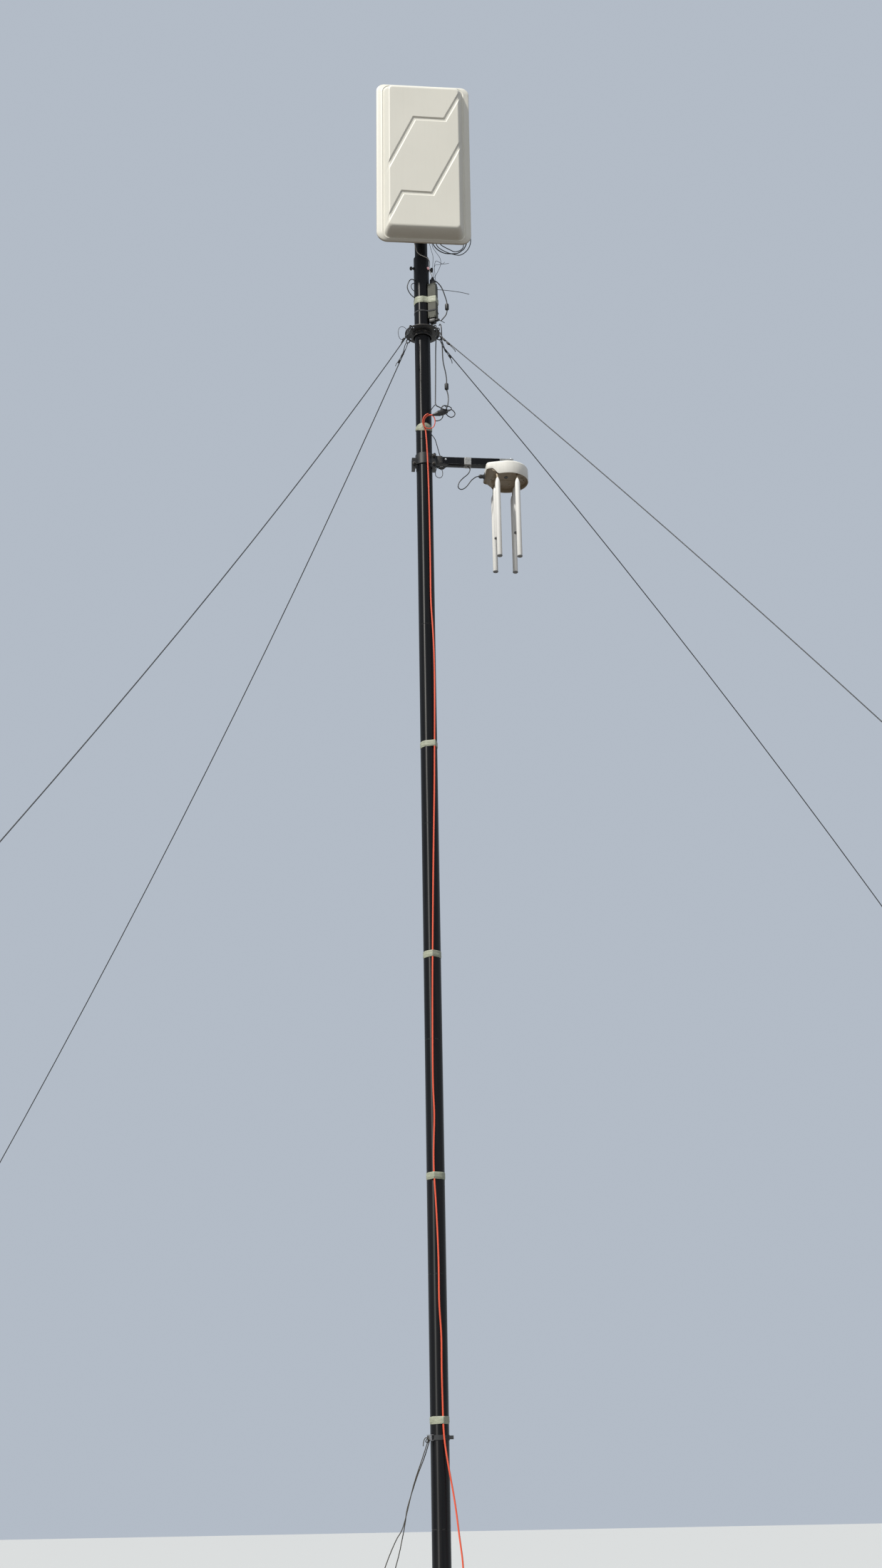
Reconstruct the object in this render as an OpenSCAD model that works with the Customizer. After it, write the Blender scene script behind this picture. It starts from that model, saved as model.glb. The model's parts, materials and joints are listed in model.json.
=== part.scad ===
// Guyed sectional mast about ten metres tall, with a flat panel antenna at its head,
// a side arm that carries a round antenna housing with six hanging rods, a junction box,
// an extension cord taped down the front and four stays out to ground stakes.
// Millimetres, Z up. The origin is the middle of the base plate's underside.
// X runs along the side arm, and the panel antenna faces -Y.

/* [Mast] */
// Outer diameter of the mast sections
mast_d = 95; // [80:1:110]
// Wall thickness of the mast sections
mast_wall = 4; // [3:0.5:6]
// Length of one mast section between its joints
section_pitch = 1220; // [1100:10:1240]
// Height of the first joint, which is the top of the foot piece
first_joint_z = 330; // [250:10:400]
// Length of the last section, from its joint to its open top
top_section_h = 1310; // [1250:10:1400]
// Outer diameter of the tube that slides out of the last section
top_tube_d = 79; // [70:1:84]
// Height of the top end of that tube
top_tube_end_z = 9980; // [9800:10:10050]

/* [Base] */
// Side of the square base plate
base_side = 400; // [300:10:500]
// Thickness of the base plate
base_thick = 10; // [8:1:16]
// Diameter of the holes for ground spikes in the base plate
base_hole_d = 18; // [14:1:22]
// Distance between neighbouring holes
base_hole_pitch = 320; // [240:10:400]

/* [Panel antenna] */
// Width of the panel antenna
panel_w = 588; // [500:1:650]
// Height of the panel antenna
panel_h = 1145; // [1000:5:1250]
// Depth of its rear tray
tray_depth = 55; // [40:1:80]
// Depth of the raised front over the tray
front_depth = 62; // [40:1:90]
// Downward tilt of the panel
panel_tilt = 3; // [0:0.5:8]
// Height of the lower edge of the panel
panel_z = 8975; // [8900:5:9050]

/* [Side arm and omni antenna] */
// Side of the square arm tube
arm_size = 45; // [40:1:50]
// Height of the middle of the arm
arm_z = 7520; // [7400:5:7600]
// Distance from the mast's middle to the arm's end
arm_reach = 452; // [400:1:500]
// Distance from the mast's middle to the middle of the round housing
omni_x = 497; // [470:1:520]
// Diameter of the round housing
omni_d = 250; // [230:1:270]
// Height of the round housing's lower rim
omni_z = 7392; // [7380:1:7400]
// Height of the round housing from rim to crown
omni_h = 94; // [80:1:100]
// Diameter of one hanging rod
rod_d = 30; // [24:1:34]
// Height of the lower ends of the four long rods
long_rod_z = 6846; // [6700:5:7000]
// Height of the lower ends of the two short rods
short_rod_z = 7014; // [6950:1:7100]

/* [Stays] */
// Height of the collar that the stays pull on
collar_z = 8410; // [8200:10:8500]
// Diameter of one stay
stay_d = 6; // [4:0.5:8]
// Drop of a stay below a straight line at its middle
stay_sag = 20; // [0:5:150]
// Sideways bow of a stay at its middle, where the wind holds it
stay_bow = 200; // [0:5:250]

/* [Hidden] */
$fn = 64;
mast_r = mast_d / 2;
bore_r = mast_r - mast_wall;
// Radial play between a spigot and the section that it enters
play = 0.3;
spigot_r = bore_r - play;
spigot_wall = 3.5;
spigot_h = 110;
shoulder_h = 10;
edge_chamfer = 1.5;
section_count = 7;
mast_top_z = first_joint_z + (section_count - 1) * section_pitch + top_section_h;
tiny = 0.01;

// Stays: heading of the ground stake round the mast, its distance from the mast, and how
// much of the wind's bow each takes
stay_heading = [225, 140, 325, 12];
stay_reach = [6320, 6245, 6200, 5780];
bow_share = [1, 1, 1.25, 1.5];
collar_r = 98;
collar_disc_r = 113;
collar_hub_h = 31;
collar_plate_h = 8;
ear_hole_r = 7;
tensioner_l = 160;
stake_top_z = 190;
stake_lean = 20;
stake_r = 9;

// Unit vector of v, and the part of v square to the unit vector t
function unit(v) = v / norm(v);
function square_to(v, t) = unit(v - t * (v * t));
// Point on a smooth curve through b and c, with a and d as its neighbours
function blend(a, b, c, d, t) =
    0.5 * (2 * b + (c - a) * t + (2 * a - 5 * b + 4 * c - d) * t * t
    + (3 * b - a - 3 * c + d) * t * t * t);
// Smooth curve through all the points, in a number of steps from each to the next
function smooth(p, steps) = [
    for (i = [0 : len(p) - 2], k = [0 : steps - 1])
        blend(p[max(i - 1, 0)], p[i], p[i + 1], p[min(i + 2, len(p) - 1)], k / steps),
    p[len(p) - 1]
];
function heading_of(p, i) = unit(p[min(i + 1, len(p) - 1)] - p[max(i - 1, 0)]);
// A vector square to the route at every point, turned as little as possible on the way
function carried(p) = [
    for (i = 0,
         n = square_to(abs(heading_of(p, 0).z) < 0.9 ? [0, 0, 1] : [0, 1, 0], heading_of(p, 0));
         i < len(p);
         i = i + 1,
         n = i < len(p) ? square_to(n, heading_of(p, i)) : n) n
];
function ring(c, n, t, r, sides) = [
    for (j = [0 : sides - 1])
        c + r * (cos(360 * j / sides) * n + sin(360 * j / sides) * cross(t, n))
];
// Round bar swept along the points of a route
module sweep(route, d, sides = 8) {
    side_vectors = carried(route);
    rings = len(route);
    points = [
        for (i = [0 : rings - 1])
            each ring(route[i], side_vectors[i], heading_of(route, i), d / 2, sides)
    ];
    walls = [
        for (i = [0 : rings - 2], j = [0 : sides - 1])
            let (k = (j + 1) % sides)
                [i * sides + j, (i + 1) * sides + j, (i + 1) * sides + k, i * sides + k]
    ];
    start_cap = [for (j = [0 : sides - 1]) j];
    end_cap = [for (j = [sides - 1 : -1 : 0]) (rings - 1) * sides + j];
    polyhedron(points, concat([start_cap], walls, [end_cap]), convexity = 10);
}

// Orange cord: from the socket's tip under the highest tape and down the mast's front to the
// ground, where the spare length lies in a flat coil beside the base plate
orange_d = 9;
coil_at = [318, -155];
coil_r = 72;
orange_route = [
    [46, -80, 7792], [34, -79, 7794], [20, -77, 7792], [8, -74, 7785], [-1, -71, 7773],
    [-6, -67.5, 7757], [-6, -62.5, 7740], [-2, -57, 7724], [6, -52, 7706], [7, -52, 7686],
    [9, -52.5, 7660], [14, -53, 7560], [20, -53, 7300], [22, -53, 6750], [18, -53, 6560], [32, -53, 6375], [36, -53, 6075],
    [28, -53, 5700], [24, -53, 5450], [16, -53, 5190], [7, -53, 4860], [0, -53, 4550],
    [-6, -53, 4270], [-10, -53, 3960], [-12, -53, 3700], [-4, -53, 3590], [-12, -53, 3450],
    [-16, -53, 3300], [-5, -53, 3145], [6, -53, 2810], [0, -53, 2620], [14, -53, 2470],
    [9, -53, 2335], [13, -53, 2120], [13, -53, 2000], [28, -56, 1880], [55, -60, 1730],
    [70, -64, 1630], [82, -68, 1510], [92, -72, 1440], [97, -76, 1380], [102, -82, 1200],
    [108, -88, 900], [114, -92, 500], [118, -94, 200], [121, -93, 110], [128, -89, 60],
    [144, -85, 28], [168, -81, 16], [200, -79, 14.5], [240, -78.5, 13.6], [276, -78.5, 12.6]
];

// Mast

// One tube section, with the swaged spigot of its upper end when it carries another
module mast_tube(z0, z1, with_spigot = true) {
    inner_top_r = with_spigot ? spigot_r - spigot_wall : bore_r;
    rotate_extrude($fn = 96)
        polygon(with_spigot
            ? [[bore_r, z0], [mast_r - edge_chamfer, z0], [mast_r, z0 + edge_chamfer],
               [mast_r, z1 - edge_chamfer], [mast_r - edge_chamfer, z1], [spigot_r, z1],
               [spigot_r, z1 + spigot_h - 4], [spigot_r - 1, z1 + spigot_h],
               [inner_top_r, z1 + spigot_h], [inner_top_r, z1 - shoulder_h],
               [bore_r, z1 - 2 * shoulder_h]]
            : [[bore_r, z0], [mast_r - edge_chamfer, z0], [mast_r, z0 + edge_chamfer],
               [mast_r, z1 - edge_chamfer], [mast_r - edge_chamfer, z1],
               [top_tube_d / 2 + play, z1], [top_tube_d / 2 + play, z1 - 60],
               [bore_r, z1 - 70], [bore_r, z1 - 300], [bore_r - 12, z1 - 312],
               [bore_r - 12, z1 - 330], [bore_r, z1 - 342]]);
}

module mast_section(index) {
    z0 = first_joint_z + (index - 1) * section_pitch;
    is_last = index == section_count;
    color("#17181a")
        mast_tube(z0, is_last ? mast_top_z : z0 + section_pitch, !is_last);
}

module foot_piece() {
    color("#17181a") {
        mast_tube(base_thick, first_joint_z);
        foot_gussets();
    }
}

// Four triangular webs between the foot tube and the plate
module foot_gussets() {
    web_thick = 8;
    web_reach = 70;
    web_h = 110;
    for (turn = [45 : 90 : 315])
        rotate([90, 0, turn])
            translate([0, 0, -web_thick / 2])
                linear_extrude(web_thick)
                    polygon([[mast_r - 1, base_thick], [mast_r + web_reach, base_thick],
                             [mast_r + web_reach, base_thick + 12],
                             [mast_r, base_thick + web_h], [mast_r - 1, base_thick + web_h]]);
}

module base_plate() {
    corner_r = 25;
    inset = base_side / 2 - corner_r;
    color("#3a3b3d")
        difference() {
            union() {
                translate([-base_side / 2, -inset, 0]) cube([base_side, 2 * inset, base_thick]);
                translate([-inset, -base_side / 2, 0]) cube([2 * inset, base_side, base_thick]);
                for (x = [-inset, inset], y = [-inset, inset])
                    translate([x, y, 0]) cylinder(r = corner_r, h = base_thick);
            }
            for (x = [-0.5, 0.5], y = [-0.5, 0.5])
                translate([x * base_hole_pitch, y * base_hole_pitch, -1])
                    cylinder(d = base_hole_d, h = base_thick + 2);
        }
}

module top_tube() {
    foot_z = mast_top_z - 300;
    color("#141517")
        difference() {
            translate([0, 0, foot_z]) cylinder(d = top_tube_d, h = top_tube_end_z - foot_z);
            translate([0, 0, foot_z - 1])
                cylinder(r = top_tube_d / 2 - 3.5, h = top_tube_end_z - foot_z - 5);
        }
}

// Two screws that lock the sliding tube, each on a boss cut to the mast's curve
module clamp_knobs() {
    knob_z = mast_top_z - 71;
    color("#101113")
        difference() {
            for (side = [-1, 1])
                translate([0, 0, knob_z - (side > 0 ? 6 : 0)])
                    rotate([0, side * 90, 0]) {
                        translate([0, 0, mast_r - 8]) cylinder(r = 7, h = 12);
                        translate([0, 0, mast_r + 4]) cylinder(r = side < 0 ? 9 : 16, h = 10);
                        translate([0, 0, mast_r + 14]) cylinder(r = side < 0 ? 12 : 7, h = 7);
                    }
            translate([0, 0, knob_z - 50]) cylinder(r = mast_r, h = 100, $fn = 96);
        }
}

// Small round lamp on a seat cut to the mast's curve
module signal_lamp() {
    color("#d88a92")
        difference() {
            rotate([0, 0, -48])
                translate([mast_r - 6, 0, 8871])
                    rotate([0, 90, 0]) {
                        cylinder(r = 9, h = 8);
                        translate([0, 0, 8]) cylinder(r1 = 8, r2 = 6, h = 6);
                        translate([0, 0, 14]) cylinder(r1 = 6, r2 = 2.5, h = 2.5);
                    }
            translate([0, 0, 8800]) cylinder(r = mast_r, h = 140, $fn = 96);
        }
}

// Stays and their fittings

module stay_collar() {
    color("#0e0f10")
        difference() {
            union() {
                translate([0, 0, collar_z - collar_hub_h])
                    cylinder(r = mast_r + 10, h = collar_hub_h + collar_plate_h, $fn = 96);
                translate([0, 0, collar_z])
                    cylinder(r = collar_disc_r, h = collar_plate_h, $fn = 96);
                translate([0, 0, collar_z + collar_plate_h])
                    cylinder(r = mast_r + 6, h = 8, $fn = 96);
                collar_boss();
            }
            translate([0, 0, collar_z - 60]) cylinder(r = mast_r, h = 120, $fn = 96);
            for (a = stay_heading)
                rotate([0, 0, a])
                    translate([collar_r, 0, collar_z - 1])
                        cylinder(r = ear_hole_r, h = collar_plate_h + 2);
        }
}

// Boss with the screw that pinches the hub on the mast
module collar_boss() {
    translate([0, 0, collar_z - collar_hub_h / 2])
        rotate([0, 90, 280]) {
            translate([0, 0, mast_r + 2]) cylinder(r = 11, h = 14);
            translate([0, 0, mast_r + 16]) cylinder(r = 7, h = 6, $fn = 6);
        }
}

// Unit heading of a stay on the ground, its two ends and a point along it
function ground_dir(i) = [cos(stay_heading[i]), sin(stay_heading[i]), 0];
function stake_head(i) = ground_dir(i) * stay_reach[i] + [0, 0, stake_top_z - 40];
function stay_slope(i) =
    unit(stake_head(i) - (ground_dir(i) * collar_r + [0, 0, collar_z]));
function stay_start(i) = ground_dir(i) * collar_r + [0, 0, collar_z - 16] + stay_slope(i) * 52;
function stay_end(i) = stake_head(i) - stay_slope(i) * (tensioner_l + 60);
function stay_point(i, t) =
    stay_start(i) + (stay_end(i) - stay_start(i)) * t
    + 4 * t * (1 - t) * [stay_bow * bow_share[i], 0, -stay_sag];
stay_steps = 14;

module stay(i) {
    color("#2a2c2e")
        sweep([for (k = [0 : stay_steps]) stay_point(i, k / stay_steps)], stay_d);
}

// Turns a part drawn along +Z so that it lies along v
module along(v) {
    rotate([0, acos(v.z / norm(v)), atan2(v.y, v.x)]) children();
}

// Clip under each ear: a pin up through the ear's hole and a sleeve on the stay's end
module stay_clips() {
    color("#1b1c1e")
        for (i = [0 : 3]) {
            eye = ground_dir(i) * collar_r + [0, 0, collar_z];
            top_dir = unit(stay_point(i, 0.02) - stay_point(i, 0));
            translate(eye + [0, 0, -16]) cylinder(r = 11, h = 16);
            translate(eye + [0, 0, -tiny]) cylinder(r = ear_hole_r - 0.5, h = collar_plate_h + 1);
            translate(eye + [0, 0, collar_plate_h]) cylinder(r = 12, h = 5);
            translate(eye + [0, 0, collar_plate_h + 5]) cylinder(r = 8, h = 9, $fn = 6);
            translate(stay_start(i) - top_dir * 52) along(top_dir) {
                cylinder(r = 9, h = 30);
                translate([0, 0, 30]) cylinder(r1 = 9, r2 = 4.5, h = 22);
            }
        }
}

module stay_tensioners() {
    color("#6d7074")
        for (i = [0 : 3]) {
            low_dir = unit(stay_point(i, 1) - stay_point(i, 0.98));
            translate(stay_end(i)) along(low_dir) {
                cylinder(r = 6, h = 30);
                for (side = [-1, 1])
                    translate([side * 11 - 3, -6, 26]) cube([6, 12, tensioner_l - 52]);
                translate([-14, -6, 20]) cube([28, 12, 10]);
                translate([-14, -6, tensioner_l - 30]) cube([28, 12, 10]);
                translate([0, 0, tensioner_l - 30]) cylinder(r = 6, h = 75);
            }
        }
}

// Leaning stakes of the stays, and the small upright peg of the two ropes
peg_at = [-699, -37];
module ground_stakes() {
    color("#55585b") {
        translate([peg_at.x, peg_at.y, 0]) cylinder(r = 8, h = 140);
        translate([peg_at.x, peg_at.y, 140]) cylinder(r1 = 12, r2 = 10, h = 8);
        for (i = [0 : 3])
            rotate([0, 0, stay_heading[i]])
                translate([stay_reach[i], 0, 0])
                    intersection() {
                        rotate([0, stake_lean, 0]) {
                            translate([0, 0, -20]) cylinder(r = stake_r, h = stake_top_z + 30);
                            translate([0, 0, stake_top_z + 10]) cylinder(r = 16, h = 8);
                        }
                        translate([-200, -50, 0]) cube([400, 100, 400]);
                    }
    }
}

// Two dark straps: one low on the mast with its free ends, and one round the junction box
strap_z = 1976;
box_strap_z = 8550;
module mast_straps() {
    color("#2c2d2f") {
        difference() {
            union() {
                translate([0, 0, strap_z - 12]) cylinder(r = mast_r + 2.5, h = 24, $fn = 96);
                translate([-66, -34, strap_z - 9]) cube([132, 4, 18]);
            }
            translate([0, 0, strap_z - 20]) cylinder(r = mast_r, h = 40, $fn = 96);
        }
        translate([0, 0, box_strap_z]) band(box_outline_points, 1.2, 9);
    }
}

// Thin ropes from the low strap to a peg in the ground
rope_d = 5;
rope_a = [[-60, -32, 1967], [-66, -32, 1950], [-92, -32, 1877], [-137, -32, 1752], [-188, -34, 1569],
    [-226, -34, 1502], [-280, -34, 1381], [-400, -36, 1060], [-540, -38, 620],
    [-660, -38, 230], [-688.6, -37, 126]];
rope_b = [[-53, -32, 1967], [-60, -30, 1945], [-82, -24, 1880], [-119, -20, 1791], [-166, -20, 1654],
    [-178, -22, 1586], [-192, -22, 1518], [-227, -24, 1383], [-330, -28, 1090],
    [-500, -34, 640], [-652, -37, 210], [-688.6, -37, 98]];
module tie_ropes() {
    color("#3b3a36") {
        sweep(smooth(rope_a, 2), rope_d);
        sweep(smooth(rope_b, 2), rope_d);
    }
}

// Panel antenna, drawn with X across, Y up the panel and Z out of its face

// Rectangle with round corners
module round_rect(w, h, r) {
    hull()
        for (x = [r, w - r], y = [r, h - r])
            translate([x, y]) circle(r = r, $fn = 24);
}

panel_x = 6;
module at_panel() {
    translate([0, -(top_tube_d / 2 + 70), panel_z])
        rotate([90 + panel_tilt, 0, 0])
            translate([panel_x - panel_w / 2, 0, 0]) children();
}

module panel_tray() {
    color("#dedccb")
        at_panel()
            hull() {
                translate([20, 20, 0])
                    linear_extrude(1) panel_outline(panel_w - 40, panel_h - 40, 20);
                translate([0, 0, 34]) linear_extrude(16) panel_outline(panel_w, panel_h, 0);
                translate([4, 4, 0])
                    linear_extrude(tray_depth) panel_outline(panel_w - 8, panel_h - 8, 4);
            }
}

// Outline of the panel: its lower corners are rounder than its upper ones
module panel_outline(w, h, inset) {
    low_r = 66 - inset;
    top_r = 50 - inset;
    hull() {
        for (x = [low_r, w - low_r])
            translate([x, low_r]) circle(r = low_r, $fn = 36);
        for (x = [top_r, w - top_r])
            translate([x, h - top_r]) circle(r = top_r, $fn = 36);
    }
}

// Raised front with sloping sides, and a rounded step between slope and face
front_side = 46;
front_bottom = 17;
front_top = 20;
side_run = 33;
low_run = 60;
top_run = 48;
module panel_front() {
    foot_w = panel_w - 2 * front_side;
    foot_h = panel_h - front_bottom - front_top;
    color("#e2e0cf")
        at_panel()
            translate([front_side, front_bottom, tray_depth])
                difference() {
                    hull() {
                        linear_extrude(1) round_rect(foot_w, foot_h, 46);
                        front_step(foot_w, foot_h, 0.78, front_depth - 8);
                        front_step(foot_w, foot_h, 0.9, front_depth - 2.5);
                        front_step(foot_w, foot_h, 1, front_depth);
                    }
                    zigzag_grooves();
                }
}

// One level of the slope: part of the way in, and the height of its upper side
module front_step(w, h, part, top) {
    side = side_run * part;
    translate([side, low_run * part, 0])
        linear_extrude(top)
            round_rect(w - 2 * side, h - (low_run + top_run) * part, 46 - 26 * part);
}

// Two V-shaped grooves that step across the face and run out down the slopes.
// Each point has its place on the front, the height of the groove's bottom and a width
groove_upper = [[14, 470, 14, 1], [33, 497, 46, 6], [52, 538, 53, 9.5], [188, 834, 53, 9.5],
    [380, 831, 53, 9.5], [448, 968, 53, 9.5], [463, 999, 47, 8], [496, 1088, 4, 1]];
groove_lower = [[12, 98, 12, 1], [33, 116, 46, 6], [52, 158, 53, 9.5], [112, 291, 53, 9.5],
    [298, 287, 53, 9.5], [446, 596, 53, 9.5], [463, 632, 47, 8], [497, 722, 2, 1]];
module zigzag_grooves() {
    for (path = [groove_upper, groove_lower], i = [0 : len(path) - 2])
        hull()
            for (p = [path[i], path[i + 1]])
                translate([p[0], p[1], p[2]])
                    cylinder(r1 = 0.6, r2 = 0.6 + p[3] * 3, h = 27, $fn = 12);
}

module panel_brackets() {
    reach = top_tube_d / 2 + 170;
    color("#6f7173")
        difference() {
            for (h = [250, 880])
                translate([0, 0, panel_z + h]) {
                    translate([-60, -reach, -30]) cube([120, reach + top_tube_d / 2 + 14, 60]);
                    for (x = [-46, 46], z = [-15, 15])
                        translate([x, top_tube_d / 2 + 14, z])
                            rotate([-90, 0, 0]) cylinder(r = 8, h = 8, $fn = 6);
                }
            translate([0, 0, panel_z + 100]) cylinder(d = top_tube_d, h = 900, $fn = 96);
            at_panel() translate([-50, -50, 0]) cube([panel_w + 100, panel_h + 100, 200]);
            for (side = [-1, 1])
                translate([side * 84 - 40, -reach - 10, panel_z + 100])
                    cube([80, reach - top_tube_d / 2 - 10, 900]);
        }
}

module coax_leads() {
    color("#1c1d20") {
        for (route = [coax_a, coax_b, coax_c])
            sweep(smooth(route, 2), 7);
        for (route = [feed_grey, feed_thin_a, feed_thin_b])
            sweep(smooth(route, 2), route == feed_grey ? 5 : 3, 6);
    }
}
function tray_y(z) = -(top_tube_d / 2 + 70) - (z - panel_z) * tan(panel_tilt);
coax_a = [[58, tray_y(9080), 9080], [58, -100, 9080], [62, -92, 9060], [65, -92, 9016],
    [81, -94, 8984], [103, -98, 8959], [134, -100, 8941], [171, -100, 8938], [216, -100, 8943],
    [244, -98, 8965], [262, -94, 8988], [280, -92, 9040], [278, -100, 9080],
    [278, tray_y(9080), 9080]];
coax_b = [[86, tray_y(9096), 9096], [86, -96, 9094], [86, -82, 9060], [90, -82, 9014],
    [108, -84, 8986], [148, -88, 8958], [182, -90, 8945], [221, -91, 8936], [243, -90, 8942],
    [266, -86, 8962], [290, -82, 8997], [303, -84, 9040], [301, -90, 9080], [282, -98, 9104],
    [262, tray_y(9106), 9106]];
coax_c = [[116, tray_y(9070), 9070], [116, -98, 9068], [113, -88, 9050], [114, -86, 9016],
    [140, -96, 8987], [171, -110, 8959], [196, -108, 8949], [225, -106, 8956],
    [246, -104, 8974], [256, -101, 8996], [254, -99, 9030], [250, -101, 9062],
    [250, tray_y(9070), 9070]];
feed_grey = [[-62, tray_y(9060), 9060], [-60, -98, 9056], [-50, -76, 9034], [-38, -52, 9008],
    [-30, -48, 8982], [-14, -54, 8957], [7, -56, 8944], [30, -49, 8938], [46, -30, 8934],
    [52, -12, 8922], [50, -8, 8900], [48, -14, 8880], [48, -26, 8860], [55, -34, 8836],
    [61, -37, 8818], [64, -38, 8800]];
feed_thin_a = [[40, tray_y(9070), 9070], [42, -96, 9066], [44, -84, 9030], [55, -78, 8981],
    [66, -70, 8944], [69, -60, 8922], [67, -56, 8890], [66, -52, 8850], [69, -46, 8816],
    [70, -42, 8800]];
feed_thin_b = [[66, tray_y(9064), 9064], [64, -98, 9060], [61, -86, 9028], [67, -80, 8993],
    [87, -78, 8959], [109, -74, 8925], [116, -66, 8900], [112, -60, 8870], [98, -52, 8838],
    [84, -46, 8812], [74, -42, 8796]];

// Junction box and its leads

// The box stands turned against the mast's right side, with its lid to the front
box_turn = -24;
box_z = 8503;
box_w = 50;
box_depth = 51;
box_height = 247;
box_front = -24.5;
module at_box() {
    rotate([0, 0, box_turn]) translate([mast_r, box_front, box_z]) children();
}
function box_corner(x, y) = [
    (mast_r + x) * cos(box_turn) - (box_front + y) * sin(box_turn),
    (mast_r + x) * sin(box_turn) + (box_front + y) * cos(box_turn)
];

module junction_box() {
    seam = 13;
    color("#7e806f")
        at_box() {
            difference() {
                linear_extrude(box_height) round_rect(box_w, box_depth, 4);
                translate([-1, seam, -1]) cube([2, 1.5, box_height + 2]);
                translate([box_w - 1, seam, -1]) cube([2, 1.5, box_height + 2]);
                translate([-1, seam, box_height - 1]) cube([box_w + 2, 1.5, 2]);
                translate([-1, seam, -1]) cube([box_w + 2, 1.5, 2]);
            }
        }
}

// Plug-in connectors: two on the box's top and a wide one under it with a side outlet
module box_plugs() {
    color("#121315")
        at_box() {
            translate([30, 16, box_height]) cylinder(r = 12, h = 12, $fn = 6);
            translate([30, 16, box_height + 12]) cylinder(r = 10, h = 22);
            translate([30, 16, box_height + 34]) cylinder(r1 = 10, r2 = 6, h = 14);
            translate([18, 36, box_height]) cylinder(r = 9, h = 26);
            translate([44, 34, box_height]) cylinder(r = 6, h = 10);
            translate([4, 6, -28]) cube([38, 34, 28]);
            translate([42, 20, -14]) rotate([0, 90, 0]) cylinder(r = 10, h = 10);
            translate([52, 20, -14]) rotate([0, 90, 0]) cylinder(r1 = 10, r2 = 5, h = 14);
            translate([14, 22, -44]) cylinder(r = 7, h = 16);
        }
}

// Closed band of one thickness that follows a ring of points from outside
module band(points, thick, h) {
    linear_extrude(h)
        difference() {
            offset(delta = thick) polygon(points);
            polygon(points);
        }
}

// Tape and strap run round the mast and straight across to the box's corners
band_r = mast_r / cos(3.75);
box_outline_points = concat(
    [for (k = [0 : 30]) band_r * [cos(54 + k * 7.5), sin(54 + k * 7.5)]],
    [box_corner(0, 0), box_corner(box_w, 0), box_corner(box_w, box_depth)]
);

ferrite_a = [150, -50, 8559];
ferrite_b = [137, -56, 7986];
module box_leads() {
    color("#1a1b1d") {
        sweep(smooth([[78, -34, 8772], [84, -40, 8772], [95, -46, 8760], [115, -49, 8731],
            [129, -50, 8696], [141, -50, 8654], [149, -50, 8622], [150, -50, 8605]], 3), 7);
        translate(ferrite_a) cylinder(r = 7, h = 46);
        translate(ferrite_a + [0, 0, 4]) cylinder(r = 12, h = 38);
        sweep(smooth([[150, -50, 8559], [149, -50, 8545], [143, -48, 8526], [130, -44, 8508],
            [117, -38, 8494], [110.6, -34.7, 8489.6]], 3), 7);
        sweep(smooth([[-44, -22, 8784], [-56, -28, 8788], [-70, -32, 8784], [-82, -34, 8766],
            [-92, -36, 8731], [-87, -36, 8702], [-72, -32, 8676], [-56, -26, 8664],
            [-46, -20, 8661]], 2), 7);
        sweep(smooth([[-46, -18, 8768], [-56, -22, 8764], [-66, -25, 8748], [-66, -25, 8732],
            [-58, -22, 8717], [-46, -18, 8710]], 2), 5);
        sweep([[91.6, -34, 8717], [163, -40, 8709], [240, -44, 8697], [291, -46, 8684]], 4);
        sweep(smooth([[78, -30, 8474.8], [86, -40, 8484], [103, -50, 8483], [134, -52, 8466]], 3), 4);
        sweep(smooth([[84, -42, 8762], [80, -58, 8800], [76, -62, 8860], [84, -62, 8905],
            [101, -62, 8903], [128, -60, 8889], [167, -60, 8896]], 2), 3);
    }
}

module hanging_leads() {
    color("#1a1b1d") {
        sweep(smooth([[61, -33, 8459], [64, -44, 8440], [72, -76, 8428], [76, -92, 8412],
            [77, -92, 8390], [77, -78, 8350], [74, -62, 8250], [72, -58, 8124],
            [67, -62, 7910], [66, -68, 7885], [72, -74, 7862], [88, -76, 7852],
            [102, -78, 7842], [107, -79, 7833.5]], 2), 7);
        sweep(smooth([[104, -15, 8470], [106, -40, 8462], [110, -58, 8440], [112, -62, 8410],
            [113, -58, 8363], [116, -52, 8300], [119, -50, 8196], [133, -52, 8110],
            [138, -55, 8060], [137, -56, 8031]], 2), 7);
        translate(ferrite_b) cylinder(r = 7, h = 45);
        translate(ferrite_b + [0, 0, 4]) cylinder(r = 12, h = 37);
        sweep(smooth([[137, -56, 7986], [144, -60, 7950], [145, -66, 7910], [140, -72, 7870],
            [133, -76, 7848], [129, -78, 7838]], 3), 7);
        sweep(smooth([[62.5, -67, 7876], [54, -56, 7873], [47, -44, 7862], [41, -34, 7846],
            [36.5, -33, 7836]], 2), 5);
        sweep(smooth([[129, -70, 7838], [146, -76, 7834], [163, -78, 7835], [176, -78, 7823],
            [182, -78, 7808], [176, -78, 7792], [160, -78, 7783], [143, -79, 7788],
            [129, -80, 7803]], 2), 6);
        sweep(smooth([[96, -92, 7826], [102, -94, 7842], [116, -94, 7853], [136, -93, 7850],
            [152, -93, 7844], [160, -93, 7834], [152, -94, 7822], [138, -96, 7812],
            [124, -99, 7806]], 2), 6);
        sweep(smooth([[110, -80, 7797], [106, -80, 7779], [95, -78, 7764], [80, -77, 7757],
            [71.5, -77, 7756]], 2), 6);
        sweep(smooth([[56, -80, 7782], [63, -78, 7770], [68, -77, 7752], [70, -76, 7732],
            [65, -72, 7714], [54, -62, 7703], [43, -48, 7700]], 2), 6);
        sweep(smooth([[38, -36, 7688], [47, -32, 7676], [63, -30, 7656], [75, -28, 7615],
            [86, -24, 7571], [94, -18, 7549], [98, -12, 7542.5]], 2), 5);
    }
}

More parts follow.
